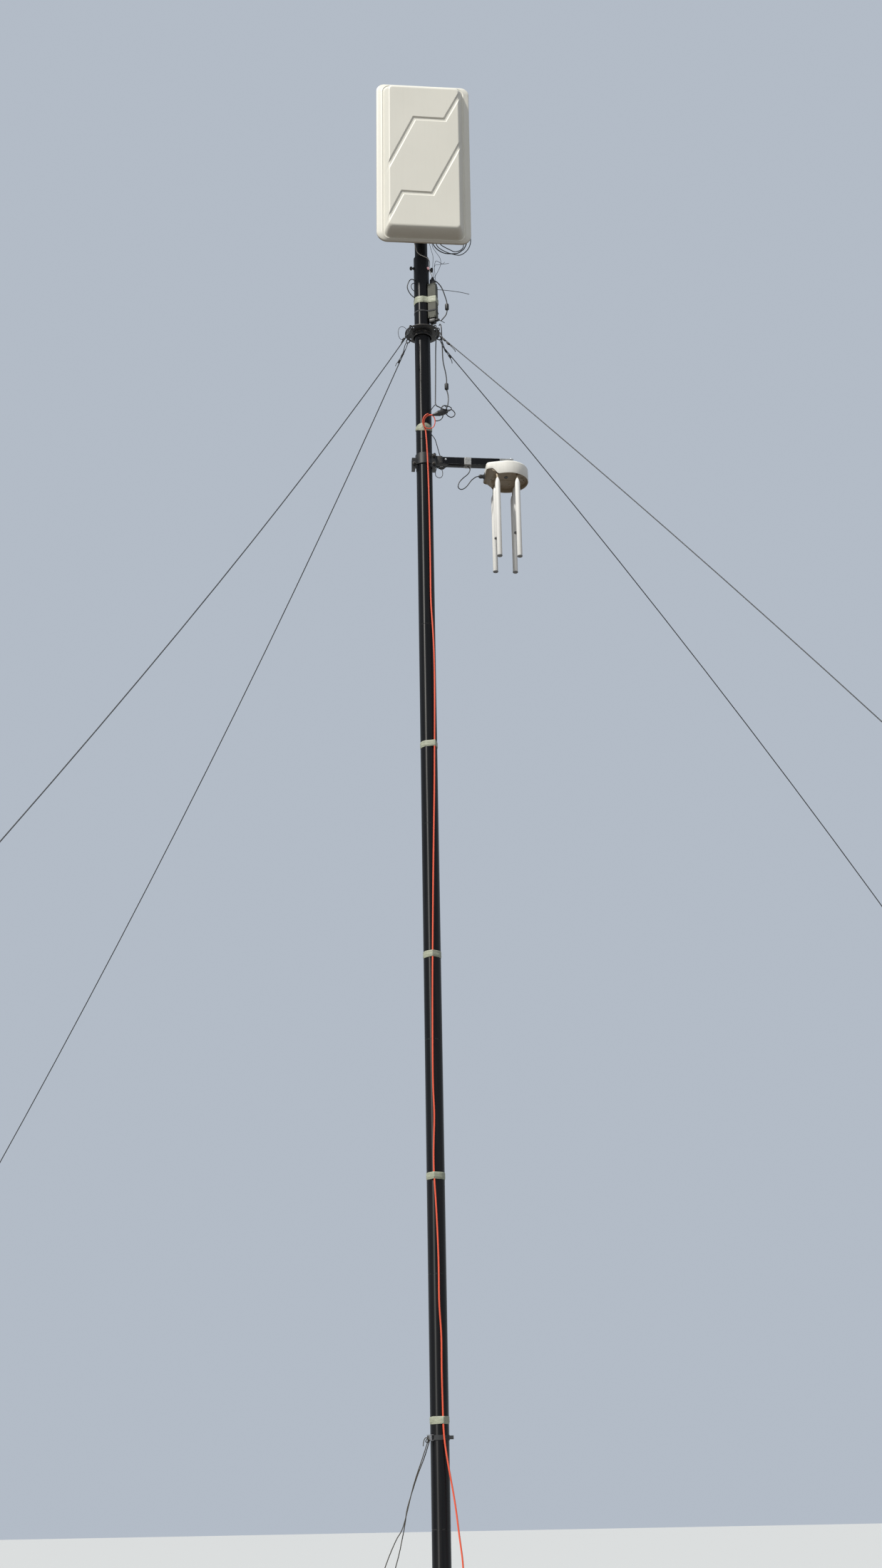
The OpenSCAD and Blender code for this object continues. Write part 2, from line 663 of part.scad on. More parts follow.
// Rubber socket that joins the leads to the orange cord, drawn out to a sleeve at its tip
socket_tip = [46, -80, 7792];
socket_axis = [89, 0, 32];
module inline_socket() {
    color("#232426")
        translate(socket_tip)
            along(socket_axis)
                rotate_extrude($fn = 48)
                    polygon([[0, 0], [6.5, 0], [8, 10], [15, 34], [15, 37], [17, 38], [18, 56],
                             [17, 80], [15, 81], [14, 94.5], [0, 94.5]]);
}

module orange_cord() {
    color("#e8603f") sweep(orange_route, orange_d, 10);
}

module orange_cord_plug() {
    color("#e8603f") {
        sweep([[277, -236, 4.5], [262, -236, 5.5], [244, -236, 9.5], [226, -236, 13.5],
            [214, -236, 15]], orange_d, 10);
        translate([214, -236, 15])
            rotate([0, -90, 0])
                rotate_extrude($fn = 48)
                    polygon([[0, 0], [7, 0], [9, 26], [13, 30], [15, 36], [15, 66], [13, 68],
                             [0, 68]]);
        for (side = [-1, 1])
            translate([146, -236 + side * 7, 15]) rotate([0, -90, 0]) cylinder(r = 2.4, h = 19);
    }
}

// Spare length of the cord: three turns side by side and two in the grooves on them
module orange_cord_coil() {
    r = orange_d / 2;
    color("#e8603f")
        translate([coil_at.x, coil_at.y, 0])
            rotate_extrude($fn = 48)
                for (turn = [[-2, 0], [0, 0], [2, 0], [-1, 1], [1, 1]])
                    translate([coil_r + turn.x * r, r + turn.y * r * sqrt(3)])
                        circle(r = r + 0.05, $fn = 12);
}

// Bands of tape that hold the cord to the mast, and one that holds the box.
// The highest one has more turns, first loose ones behind the cord that slope down to the right
tape_z = [2058, 3267, 4459, 5684];
tape_x = [13, -14, -3, 28];
tape_h = 36;
module mast_tapes() {
    color("#cfd3b8") {
        for (i = [0 : 3])
            translate([0, 0, tape_z[i] - tape_h / 2]) band(tape_outline(tape_x[i]), 1.2, tape_h);
        highest_tape();
        translate([0, 0, 8614]) band(box_outline_points, 1.4, 44);
    }
}

// Ring of points round the mast and over a cord that runs down it at this x
function tape_outline(x) =
    let (cord_at = [x, -52], cord_r = orange_d / 2 + 0.6, turn = atan2(-52, x),
         half = acos((mast_r - cord_r) / norm(cord_at)), step = (360 - 2 * half) / 40)
    concat(
        [for (k = [0 : 40])
            mast_r / cos(step / 2) * [cos(turn + half + k * step), sin(turn + half + k * step)]],
        [for (k = [-3 : 3])
            cord_at + cord_r * [cos(turn + k * half / 3), sin(turn + k * half / 3)]]
    );

module highest_tape() {
    difference() {
        union() {
            translate([0, 0, 7688]) band(tape_outline(6.5), 2.5, 22);
            translate([0, 0, 7710])
                band([for (k = [0 : 47]) band_r * [cos(k * 7.5), sin(k * 7.5)]], 3.5, 48);
        }
        translate([8, -100, 7752]) rotate([0, 22, 0]) cube([120, 200, 80]);
        translate([6, -52, 7706]) along([-8, -5, 18]) cylinder(r = 5.2, h = 24);
    }
}

// Side arm

bracket_x = 68;
module arm_clamp() {
    color("#131416")
        difference() {
            union() {
                translate([0, 0, arm_z - 36]) cylinder(r = mast_r + 6, h = 71, $fn = 96);
                translate([-76, -22, arm_z - 62]) cube([40, 44, 72]);
                translate([30, -36, arm_z - 54]) cube([bracket_x - 30, 72, 88]);
                for (z = [-36, 18])
                    translate([54, -36, arm_z + z])
                        rotate([90, 0, 0]) cylinder(r = 8, h = 6, $fn = 6);
                translate([-62, -22, arm_z - 30])
                    rotate([90, 0, 0]) cylinder(r = 8, h = 6, $fn = 6);
                translate([60, -24, arm_z + 34]) cylinder(r = 7, h = 9, $fn = 6);
            }
            translate([0, 0, arm_z - 70]) cylinder(r = mast_r, h = 140, $fn = 96);
            translate([-56, -30, arm_z - 70]) cube([8, 60, 32]);
        }
}

module arm_tube() {
    wall = 3;
    color("#1b1c1e")
        difference() {
            translate([bracket_x, -arm_size / 2, arm_z - arm_size / 2])
                cube([arm_reach - bracket_x, arm_size, arm_size]);
            translate([bracket_x + 4, -arm_size / 2 + wall, arm_z - arm_size / 2 + wall])
                cube([arm_reach, arm_size - 2 * wall, arm_size - 2 * wall]);
        }
}

// Tape round the arm and the lead under it
module arm_tape() {
    color("#9a9c9b")
        translate([238, 0, arm_z])
            rotate([90, 0, 90])
                linear_extrude(43)
                    difference() {
                        offset(delta = 1) arm_and_lead();
                        arm_and_lead();
                    }
}

module arm_and_lead() {
    hull() {
        square(arm_size, center = true);
        translate([-6, -arm_size / 2 - 3.2]) circle(r = 3.4, $fn = 16);
    }
}

// Strip that ties the housing to the arm, with its bolts, and a screw in the arm's face
module arm_fixings() {
    top = arm_z + arm_size / 2;
    crown = omni_z + omni_h;
    color("#8c8f92") {
        translate([380, -20, top]) cube([156, 40, 4]);
        for (x = [392, 444, 524])
            translate([x, 0, top + 4]) cylinder(r = 8, h = 6, $fn = 6);
        translate([524, 0, crown]) cylinder(r = 9, h = top - crown);
        translate([396, -18, crown]) cube([44, 36, arm_z - arm_size / 2 - crown]);
        translate([127, -arm_size / 2, 7527])
            rotate([90, 0, 0]) {
                cylinder(r = 6, h = 2);
                translate([0, 0, 2]) cylinder(r1 = 5, r2 = 2.5, h = 2);
            }
    }
}

// Round antenna housing with a square snout towards the mast

snout_x = 136;
snout_y = 96;
snout_rim = 32;
cover_wall = 3;
module omni_cover() {
    color("#e6e4d6")
        translate([omni_x, 0, omni_z])
            difference() {
                union() {
                    rotate_extrude($fn = 96) polygon(cover_profile(omni_d / 2, omni_h));
                    hull() {
                        snout_side(snout_y, 0, omni_h - 12);
                        snout_side(snout_y - 3, 3, omni_h - 5);
                        snout_side(snout_y - 10, 10, omni_h - 1);
                    }
                    snout_wall(snout_y);
                }
                translate([0, 0, -1])
                    cylinder(r = omni_d / 2 - cover_wall, h = omni_h - 8, $fn = 96);
                translate([-snout_x + cover_wall, -snout_y + cover_wall, -1])
                    cube([snout_x, 2 * (snout_y - cover_wall), omni_h - 8]);
                translate([-snout_x - 1, -84, -1]) cube([8, 168, 61]);
            }
}
function cover_profile(r, h) = [[0, 0], [r - 1, 0], [r, 3], [r, h - 24], [r - 1.5, h - 16],
    [r - 5, h - 9], [r - 12, h - 4], [r - 26, h - 1], [r - 50, h], [0, h]];

// One level of the snout's rounded top
module snout_side(y, back, top) {
    translate([-snout_x + back, -y, top - 6]) cube([snout_x - back - 40, 2 * y, 6]);
}

// Snout walls, whose lower edge rises from the round rim to the snout's rim
module snout_wall(y) {
    translate([0, y, 0])
        rotate([90, 0, 0])
            linear_extrude(2 * y)
                polygon([[-snout_x, omni_h - 12], [-snout_x, snout_rim], [-104, snout_rim],
                         [-77, 0], [-60, 0], [-60, omni_h - 12]]);
}

// Floor of the housing with six rod seats, a hole, shallow panels and the ribbed end
floor_z = 20;
module omni_base() {
    r = omni_d / 2 - cover_wall;
    color("#b9b29a")
        translate([omni_x, 0, omni_z])
            difference() {
                union() {
                    intersection() {
                        translate([0, 0, floor_z]) cylinder(r = r, h = 5, $fn = 96);
                        translate([-100, -r, 0]) cube([260, 2 * r, 60]);
                    }
                    translate([-snout_x + cover_wall, -snout_y + cover_wall, 38])
                        cube([snout_x - 90, 2 * (snout_y - cover_wall), 5]);
                    translate([-100, -60, floor_z]) cube([10, 120, 20]);
                    translate([-snout_x, -84, 36]) cube([6, 168, 24]);
                    for (y = [-72 : 16 : 72])
                        translate([-snout_x - 1.5, y - 2, 37]) cube([2, 4, 22]);
                    for (p = rod_seats)
                        translate([p.x - omni_x, p.y, 0]) cylinder(r = 20, h = floor_z + 2);
                    translate([-88, 40, floor_z - 3]) cube([30, 3, 4]);
                    translate([-88, -43, floor_z - 3]) cube([30, 3, 4]);
                }
                translate([-11, -27, floor_z - 1]) cylinder(r = 11, h = 10);
                translate([-38, 8, floor_z - 1]) cube([40, 56, 3]);
                translate([14, 10, floor_z - 1]) cube([24, 10, 3]);
                translate([10, 60, floor_z - 1]) cube([5, 18, 3]);
                difference() {
                    translate([0, 0, floor_z - 1]) cylinder(r = 109, h = 2.5, $fn = 96);
                    translate([0, 0, floor_z - 2]) cylinder(r = 106, h = 5, $fn = 96);
                    for (p = rod_seats)
                        translate([p.x - omni_x, p.y, 0]) cylinder(r = 24, h = 40);
                }
            }
}

module omni_gland() {
    color("#141517")
        translate([omni_x - snout_x, 0, omni_z + 37])
            rotate([0, -90, 0]) {
                translate([0, 0, 1.5]) cylinder(r = 15, h = 9, $fn = 6);
                translate([0, 0, 10.5]) cylinder(r = 11, h = 8);
                translate([0, 0, 18.5]) cylinder(r = 14, h = 10, $fn = 6);
                translate([0, 0, 28.5]) cylinder(r1 = 12, r2 = 7, h = 8);
            }
}

// Lead from the gland, under the arm to its in-line plug by the bracket
module omni_lead() {
    lead_top = arm_z - arm_size / 2 - 3.1;
    color("#2a2b2e") {
        sweep(smooth([[324.5, 0, 7429], [312, -3, 7425], [300, -6, 7416], [278, -9, 7394],
            [257, -10, 7362], [238, -10, 7341], [219, -10, 7332], [204, -10, 7338],
            [199, -10, 7354], [208, -10, 7382], [230, -10, 7409], [256, -9, 7434],
            [270, -8, 7457], [272, -7, 7478], [262, -6, lead_top - 4], [246, -6, lead_top],
            [212, -6, lead_top], [170, -6, lead_top], [148, -6, lead_top - 1],
            [130, -8, 7483], [119, -9, 7475]], 2), 6);
        translate([119, -10, 7475])
            rotate([0, -93, 0]) {
                cylinder(r1 = 6, r2 = 10, h = 8);
                translate([0, 0, 8]) cylinder(r = 11, h = 16);
                translate([0, 0, 24]) cylinder(r = 8, h = 9);
            }
        sweep(smooth([[85.7, -10, 7476.8], [76, -11, 7472], [68, -12, 7456], [64, -13, 7436],
            [66, -13, 7418], [75, -13, 7408], [89, -13, 7404], [101, -13, 7411],
            [107, -13, 7427], [107, -12, 7446], [103, -11, 7463]], 2), 4);
    }
}

rod_x = [424, 542];
rod_y = 103;
rod_seats = [for (x = rod_x, y = [-rod_y, 0, rod_y]) [x, y]];
short_rise = [0, 40];
function rod_end(i) = rod_seats[i].y != 0
    ? long_rod_z
    : short_rod_z + (i > 2 ? short_rise[1] : short_rise[0]);
module antenna_rods() {
    cap_h = 6;
    color("#e9e8df")
        for (i = [0 : 5])
            translate([rod_seats[i].x, rod_seats[i].y, rod_end(i) + cap_h])
                cylinder(d = rod_d, h = omni_z - rod_end(i) - cap_h);
}

module rod_caps() {
    color("#8f9192")
        for (i = [0 : 5])
            translate([rod_seats[i].x, rod_seats[i].y, rod_end(i)]) {
                cylinder(r1 = rod_d / 2 - 1, r2 = rod_d / 2 + 0.5, h = 1.5);
                translate([0, 0, 1.5]) cylinder(d = rod_d + 1, h = 4.5);
            }
}

base_plate();
foot_piece();
mast_section(1);  // mast_section_1
mast_section(2);  // mast_section_2
mast_section(3);  // mast_section_3
mast_section(4);  // mast_section_4
mast_section(5);  // mast_section_5
mast_section(6);  // mast_section_6
mast_section(7);  // mast_section_7
top_tube();
clamp_knobs();
signal_lamp();
stay_collar();
stay_clips();
stay(0);  // stay_front_left
stay(1);  // stay_back_left
stay(2);  // stay_front_right
stay(3);  // stay_back_right
stay_tensioners();
ground_stakes();
mast_straps();
tie_ropes();
panel_front();
panel_tray();
panel_brackets();
coax_leads();
junction_box();
box_plugs();
box_leads();
hanging_leads();
inline_socket();
orange_cord();
orange_cord_coil();
orange_cord_plug();
mast_tapes();
arm_clamp();
arm_tube();
arm_tape();
arm_fixings();
omni_cover();
omni_base();
omni_gland();
omni_lead();
antenna_rods();
rod_caps();
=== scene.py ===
import json
import math

import bmesh
import bpy
from mathutils import Matrix, Vector, noise
from mathutils.geometry import delaunay_2d_cdt


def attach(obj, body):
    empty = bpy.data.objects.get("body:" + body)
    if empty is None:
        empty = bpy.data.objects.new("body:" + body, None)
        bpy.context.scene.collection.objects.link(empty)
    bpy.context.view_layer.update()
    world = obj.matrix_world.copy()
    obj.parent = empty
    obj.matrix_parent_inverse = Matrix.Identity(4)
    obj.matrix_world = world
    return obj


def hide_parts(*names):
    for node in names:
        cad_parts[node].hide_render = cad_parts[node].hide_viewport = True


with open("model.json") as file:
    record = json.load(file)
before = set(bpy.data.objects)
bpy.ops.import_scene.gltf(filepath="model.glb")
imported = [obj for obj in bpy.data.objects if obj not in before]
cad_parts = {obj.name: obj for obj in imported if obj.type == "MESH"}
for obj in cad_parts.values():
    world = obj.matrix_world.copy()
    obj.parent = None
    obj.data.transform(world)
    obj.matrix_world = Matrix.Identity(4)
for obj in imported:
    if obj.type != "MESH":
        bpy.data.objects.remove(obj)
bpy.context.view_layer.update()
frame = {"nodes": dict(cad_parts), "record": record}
scene = bpy.context.scene
scene.view_settings.view_transform = "Standard"
NODES = frame["nodes"]


# Camera: the photograph's place, 10.2 m in front of the mast and 1.6 m up

sensor_mm = 36.0
# Focal length and height of the photograph, both in its pixels
focal_px, photo_px = 2727, 2200
camera_at = (-0.9446, -10.1564, 1.6)
camera_heading, camera_pitch, camera_roll = -5.677, 20.7, -1.036


def make_camera():
    data = bpy.data.cameras.new("photo_camera")
    data.sensor_width = sensor_mm
    data.lens = focal_px / photo_px * sensor_mm
    data.clip_end = 800
    camera = bpy.data.objects.new("photo_camera", data)
    scene.collection.objects.link(camera)
    place = (Matrix.Rotation(math.radians(camera_heading), 4, "Z")
             @ Matrix.Rotation(math.radians(90 + camera_pitch), 4, "X")
             @ Matrix.Rotation(math.radians(camera_roll), 4, "Z"))
    place.translation = camera_at
    camera.matrix_world = place
    scene.camera = camera


make_camera()


# Orange cord: route in millimetres, from the socket's tip to the end of its coil

cord_d = 9.0
cord_run = [
    (46, -80, 7792), (34, -79, 7794), (20, -77, 7792), (8, -74, 7785), (-1, -71, 7773),
    (-6, -67.5, 7757), (-6, -62.5, 7740), (-2, -57, 7724), (6, -52, 7706), (7, -52, 7686),
    (9, -52.5, 7660), (14, -53, 7560), (20, -53, 7300), (22, -53, 6750), (18, -53, 6560),
    (32, -53, 6375), (36, -53, 6075), (28, -53, 5700), (24, -53, 5450), (16, -53, 5190),
    (7, -53, 4860), (0, -53, 4550), (-6, -53, 4270), (-10, -53, 3960), (-12, -53, 3700),
    (-4, -53, 3590), (-12, -53, 3450), (-16, -53, 3300), (-5, -53, 3145), (6, -53, 2810),
    (0, -53, 2620), (14, -53, 2470), (9, -53, 2335), (13, -53, 2120), (13, -53, 2000),
    (28, -56, 1880), (55, -60, 1730), (70, -64, 1630), (82, -68, 1510), (92, -72, 1440),
    (97, -76, 1380), (102, -82, 1200), (108, -88, 900), (114, -92, 500), (118, -94, 200),
    (121, -93, 110), (128, -89, 60), (144, -85, 28), (168, -81, 16), (200, -79, 14.5),
    (240, -78.5, 13.6), (276, -78.5, 12.6),
]
cord_tail = [(277, -236, 4.5), (262, -236, 5.5), (244, -236, 9.5), (226, -236, 13.5),
             (214, -236, 15)]


def coil_turns(centre=(318, -155), steps=18):
    """Four and a half turns: two on top, wide then narrow, then three below from the inside."""
    rings = [(76.5, 12.3), (67.5, 12.3), (63.0, 4.5), (72.0, 4.5), (81.0, 4.5), (81.0, 4.5)]
    points = []
    for turn in range(5):
        for step in range(steps if turn < 4 else steps // 2 + 1):
            ease = max(0.0, (step - steps + 4) / 4)
            r, z = (a + (b - a) * ease for a, b in zip(rings[turn], rings[turn + 1]))
            angle = math.radians(90 - 360 * step / steps)
            points.append((centre[0] + r * math.cos(angle), centre[1] + r * math.sin(angle), z))
    return points


def cord_tube(name, points, diameter, sides=4):
    """A cord as a mesh tube along a smooth curve, with the points of its centreline."""
    data = bpy.data.curves.new(name, "CURVE")
    data.dimensions = "3D"
    data.resolution_u = 6
    data.use_fill_caps = True
    line = data.splines.new("NURBS")
    line.points.add(len(points) - 1)
    for knot, place in zip(line.points, points):
        knot.co = (*(Vector(place) / 1000), 1.0)
    line.order_u = 4
    line.use_endpoint_u = True
    guide = bpy.data.objects.new(name, data)
    scene.collection.objects.link(guide)
    centreline = bpy.data.meshes.new_from_object(
        guide.evaluated_get(bpy.context.evaluated_depsgraph_get()))
    data.bevel_depth = diameter / 2000
    data.bevel_resolution = sides
    tube = bpy.data.meshes.new_from_object(
        guide.evaluated_get(bpy.context.evaluated_depsgraph_get()))
    bpy.data.objects.remove(guide, do_unlink=True)
    piece = bpy.data.objects.new(name, tube)
    scene.collection.objects.link(piece)
    for face in tube.polygons:
        face.use_smooth = True
    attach(piece, "root")
    return piece, [tuple(vertex.co) for vertex in centreline.vertices]


def make_orange_cord():
    route = cord_run + coil_turns() + cord_tail
    cord, path = cord_tube("orange_cord_whole", route, cord_d)
    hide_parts("orange_cord", "orange_cord_coil")
    return cord


orange_cord = make_orange_cord()


# Short ways to add and join shader nodes

def put(tree, socket, value):
    """Joins a socket to another, or sets its own value."""
    if isinstance(value, bpy.types.NodeSocket):
        tree.links.new(value, socket)
    elif socket.type == "RGBA" and len(value) == 3:
        socket.default_value = (*value, 1)
    else:
        socket.default_value = value


def add_node(tree, kind, joins=(), **settings):
    made = tree.nodes.new("ShaderNode" + kind)
    for key, value in settings.items():
        setattr(made, key, value)
    for key, value in dict(joins).items():
        put(tree, made.inputs[key], value)
    return made


def add_math(tree, operation, *terms, clamp=False):
    made = add_node(tree, "Math", enumerate(terms), operation=operation, use_clamp=clamp)
    return made.outputs[0]


def mixed(tree, share, a, b):
    made = add_node(tree, "Mix", {"Factor": share, "A": a, "B": b}, data_type="RGBA")
    return made.outputs["Result"]


def between(tree, share, low, high):
    """The low value where the share is 0, and the high one where it is 1."""
    made = add_node(tree, "MapRange", {"Value": share, "To Min": low, "To Max": high})
    return made.outputs["Result"]


def ramp(tree, value, low, high):
    """0 at the low value and 1 at the high one."""
    made = add_node(tree, "MapRange", {"Value": value, "From Min": low, "From Max": high})
    return made.outputs["Result"]


# Stage: a pale floor and background, a low sun from the left and soft light all round

def seen_directly(tree):
    """1 for what the camera sees, mirrored or through a clear part too, and 0 for light."""
    path = add_node(tree, "LightPath").outputs
    seen = add_math(tree, "MAXIMUM", path["Is Camera Ray"], path["Is Glossy Ray"])
    return add_math(tree, "MAXIMUM", seen, path["Is Transmission Ray"])


def make_floor():
    bpy.ops.mesh.primitive_plane_add(size=520, location=(0, 0, 0))
    floor = bpy.context.object
    floor.name = "floor"
    material = bpy.data.materials.new("pale_floor")
    material.use_nodes = True
    tree = material.node_tree
    shader = tree.nodes["Principled BSDF"]
    put(tree, shader.inputs["Base Color"],
        mixed(tree, seen_directly(tree), (0.066, 0.048, 0.030), (0.50, 0.51, 0.51)))
    shader.inputs["Roughness"].default_value = 0.9
    floor.data.materials.append(material)


def make_soft_light():
    """Light from all round: brighter from above, and brightest from the camera's side."""
    world = bpy.data.worlds.new("soft_studio")
    scene.world = world
    world.use_nodes = True
    tree = world.node_tree
    around = add_node(tree, "TexCoord").outputs["Generated"]
    height = add_node(tree, "SeparateXYZ", {0: around}).outputs["Z"]
    front = add_node(tree, "VectorMath", {0: around, 1: (0.15, -0.95, 0.27)},
                     operation="DOT_PRODUCT").outputs["Value"]
    light = mixed(tree, height, (0.165, 0.175, 0.19), (0.43, 0.49, 0.57))
    light = mixed(tree, front, light, (0.82, 0.85, 0.89))
    put(tree, tree.nodes["Background"].inputs["Color"],
        mixed(tree, seen_directly(tree), light, (0.45, 0.50, 0.57)))


def make_sun():
    sun = bpy.data.lights.new("low_sun", "SUN")
    sun.energy = 4.0
    sun.angle = math.radians(4)
    sun.color = (1.0, 0.965, 0.90)
    lamp = bpy.data.objects.new("low_sun", sun)
    scene.collection.objects.link(lamp)
    towards = Vector((-0.5011, -0.4434, 0.7431))
    lamp.matrix_world = towards.to_track_quat("Z", "Y").to_matrix().to_4x4()


make_floor()
make_soft_light()
make_sun()


# Shader groups that several finishes share

class Group:
    """A shader node group under construction, with short ways to add and join nodes."""

    def __init__(self, name, inputs, outputs):
        self.tree = bpy.data.node_groups.new(name, "ShaderNodeTree")
        for label, value in inputs.items():
            kind = "NodeSocketFloat" if isinstance(value, float) else "NodeSocketVector"
            socket = self.tree.interface.new_socket(label, in_out="INPUT", socket_type=kind)
            socket.default_value = value
        for label in outputs:
            self.tree.interface.new_socket(label, in_out="OUTPUT",
                                           socket_type="NodeSocketFloat")
        self.enter = self.tree.nodes.new("NodeGroupInput")
        self.leave = self.tree.nodes.new("NodeGroupOutput")

    def node(self, kind, joins=(), **settings):
        return add_node(self.tree, kind, joins, **settings)

    def math(self, operation, *terms, clamp=False):
        return add_math(self.tree, operation, *terms, clamp=clamp)

    def given(self, label):
        return self.enter.outputs[label]

    def noise(self, place, scale, detail, **more):
        """Noise of a fixed scale, or of the scale that the group is given under this name."""
        if isinstance(scale, str):
            scale = self.given(scale)
        joins = {"Vector": place, "Scale": scale, "Detail": detail, **more}
        return self.node("TexNoise", joins).outputs["Fac"]

    def out(self, label, socket):
        self.tree.links.new(socket, self.leave.inputs[label])


def group_grain():
    """Uneven patches and fine grain of a surface, each from 0 to 1."""
    g = Group("surface_grain", {"Patch Scale": 6.0, "Grain Scale": 400.0, "Stretch": (1, 1, 1)},
              ["Patches", "Grain"])
    place = g.node("TexCoord").outputs["Object"]
    spread = g.node("Mapping", {"Vector": place, "Scale": g.given("Stretch")}).outputs[0]
    patches = g.noise(spread, "Patch Scale", 5.0, Roughness=0.6)
    g.out("Patches", ramp(g.tree, patches, 0.3, 0.7))
    g.out("Grain", g.noise(spread, "Grain Scale", 3.0, Roughness=0.55))
    return g.tree


def group_edge_marks():
    """Mask of outer and inner edges, broken up by noise: wear on most finishes, a painted
    highlight on the radome.
    """
    g = Group("worn_and_highlit_edges", {"Radius": 0.003, "Amount": 0.5, "Break Up": 90.0}, ["Mask"])
    soft = g.node("Bevel", {"Radius": g.given("Radius")}, samples=4).outputs[0]
    true = g.node("NewGeometry").outputs["Normal"]
    likeness = g.node("VectorMath", {0: soft, 1: true}, operation="DOT_PRODUCT")
    place = g.node("TexCoord").outputs["Object"]
    marked = g.math("MULTIPLY", ramp(g.tree, likeness.outputs["Value"], 0.99, 0.86),
                  ramp(g.tree, g.noise(place, "Break Up", 4.0), 0.42, 0.6))
    g.out("Mask", g.math("MULTIPLY", marked, g.given("Amount"), clamp=True))
    return g.tree


def group_weather():
    """Dust that settles on what faces up, and faint runs down upright faces."""
    g = Group("weather", {"Dust": 0.4, "Runs": 0.3, "Run Scale": 60.0}, ["Dust", "Runs"])
    place = g.node("TexCoord").outputs["Object"]
    up = g.node("SeparateXYZ", {"Vector": g.node("NewGeometry").outputs["Normal"]}).outputs["Z"]
    dust = g.math("MULTIPLY", ramp(g.tree, up, 0.25, 0.95),
                  ramp(g.tree, g.noise(place, 35.0, 5.0), 0.3, 0.7))
    g.out("Dust", g.math("MULTIPLY", dust, g.given("Dust"), clamp=True))
    drawn = g.node("Mapping", {"Vector": place, "Scale": (1, 1, 0.045)}).outputs[0]
    lines = ramp(g.tree, g.noise(drawn, "Run Scale", 3.0), 0.5, 0.72)
    g.out("Runs", g.math("MULTIPLY", lines, g.given("Runs"), clamp=True))
    return g.tree


def group_lay():
    """Strands laid round a rope or cord, from its own UV map: U round it, V along it in metres."""
    g = Group("strand_lay", {"Strands": 6.0, "Turn Length": 0.04}, ["Height", "Gap"])
    uv = g.node("SeparateXYZ", {"Vector": g.node("UVMap").outputs["UV"]}).outputs
    wound_u = g.math("ADD", uv["X"], g.math("DIVIDE", uv["Y"], g.given("Turn Length")))
    strand = g.math("FRACT", g.math("MULTIPLY", wound_u, g.given("Strands")))
    middle = g.math("ABSOLUTE", g.math("SUBTRACT", g.math("MULTIPLY", strand, 2.0), 1.0))
    crown = g.math("SQRT", g.math("SUBTRACT", 1.0, g.math("MULTIPLY", middle, middle)))
    g.out("Height", crown)
    g.out("Gap", g.math("POWER", middle, 4.0))
    return g.tree


GRAIN = group_grain()
EDGES = group_edge_marks()
WEATHER = group_weather()
LAY = group_lay()


# Finishes

class Finish:
    """A material with its Principled shader and the shared groups it is built from."""

    def __init__(self, name, metallic=0.0, coat=0.0):
        self.material = bpy.data.materials.new(name)
        self.material.use_nodes = True
        self.tree = self.material.node_tree
        self.shader = self.tree.nodes["Principled BSDF"]
        self.shader.inputs["Metallic"].default_value = metallic
        self.shader.inputs["Coat Weight"].default_value = coat

    def group(self, tree, **values):
        made = self.tree.nodes.new("ShaderNodeGroup")
        made.node_tree = tree
        for key, value in values.items():
            put(self.tree, made.inputs[key.replace("_", " ")], value)
        return made.outputs

    def colour(self, socket):
        self.tree.links.new(socket, self.shader.inputs["Base Color"])

    def rough(self, share, low, high):
        self.tree.links.new(between(self.tree, share, low, high),
                            self.shader.inputs["Roughness"])

    def bump(self, height, depth, strength=0.5):
        made = add_node(self.tree, "Bump", {"Height": height, "Distance": depth,
                                            "Strength": strength})
        self.tree.links.new(made.outputs[0], self.shader.inputs["Normal"])


FINISHES = {}


def tint(colour, factor):
    return tuple(min(1.0, c * factor) for c in colour)


def moulded(slot, colour, rough=(0.35, 0.5), patches=4.0, grain=500.0, shade=0.06, dust=0.25,
            runs=0.12, dirt=(0.30, 0.27, 0.22), edge=None, edge_amount=0.4, edge_radius=0.003,
            bump=0.0003, stretch=(1, 1, 1), coat=0.0, drawn=0.0):
    """Plastic, rubber or paint: uneven tone, fine grain, worn edges, which on the radome are a
    painted highlight, dust and faint runs.
    """
    f = Finish(slot, coat=coat)
    if drawn:
        f.shader.inputs["Anisotropic"].default_value = drawn
        f.shader.inputs["Anisotropic Rotation"].default_value = 0.25
        f.shader.inputs["Specular IOR Level"].default_value = 0.26
    tone = f.group(GRAIN, Patch_Scale=patches, Grain_Scale=grain, Stretch=stretch)
    weather = f.group(WEATHER, Dust=dust, Runs=runs)
    base = mixed(f.tree, tone["Patches"], tint(colour, 1 - shade), tint(colour, 1 + shade))
    if edge:
        edge_marks = f.group(EDGES, Radius=edge_radius, Amount=edge_amount)
        base = mixed(f.tree, edge_marks["Mask"], base, edge)
    base = mixed(f.tree, weather["Runs"], base, dirt)
    f.colour(mixed(f.tree, weather["Dust"], base, dirt))
    f.rough(tone["Patches"], *rough)
    f.bump(tone["Grain"], bump)
    FINISHES[slot] = f.material


def galvanised_steel(slot, colour, rough=(0.38, 0.6)):
    """Zinc spangle: flat crystals of slightly different tone, with dull grey bloom."""
    f = Finish(slot, metallic=0.85)
    place = add_node(f.tree, "TexCoord").outputs["Object"]
    crystal = add_node(f.tree, "TexVoronoi", {"Vector": place, "Scale": 140.0})
    tone = add_node(f.tree, "SeparateXYZ", {"Vector": crystal.outputs["Color"]}).outputs["X"]
    grain = f.group(GRAIN, Patch_Scale=12.0, Grain_Scale=300.0)
    weather = f.group(WEATHER, Dust=0.35, Runs=0.3)
    base = mixed(f.tree, tone, tint(colour, 0.82), tint(colour, 1.12))
    base = mixed(f.tree, weather["Runs"], base, (0.20, 0.19, 0.17))
    f.colour(mixed(f.tree, weather["Dust"], base, (0.30, 0.27, 0.22)))
    f.rough(grain["Patches"], *rough)
    f.bump(tone, 0.0002, 0.3)
    FINISHES[slot] = f.material


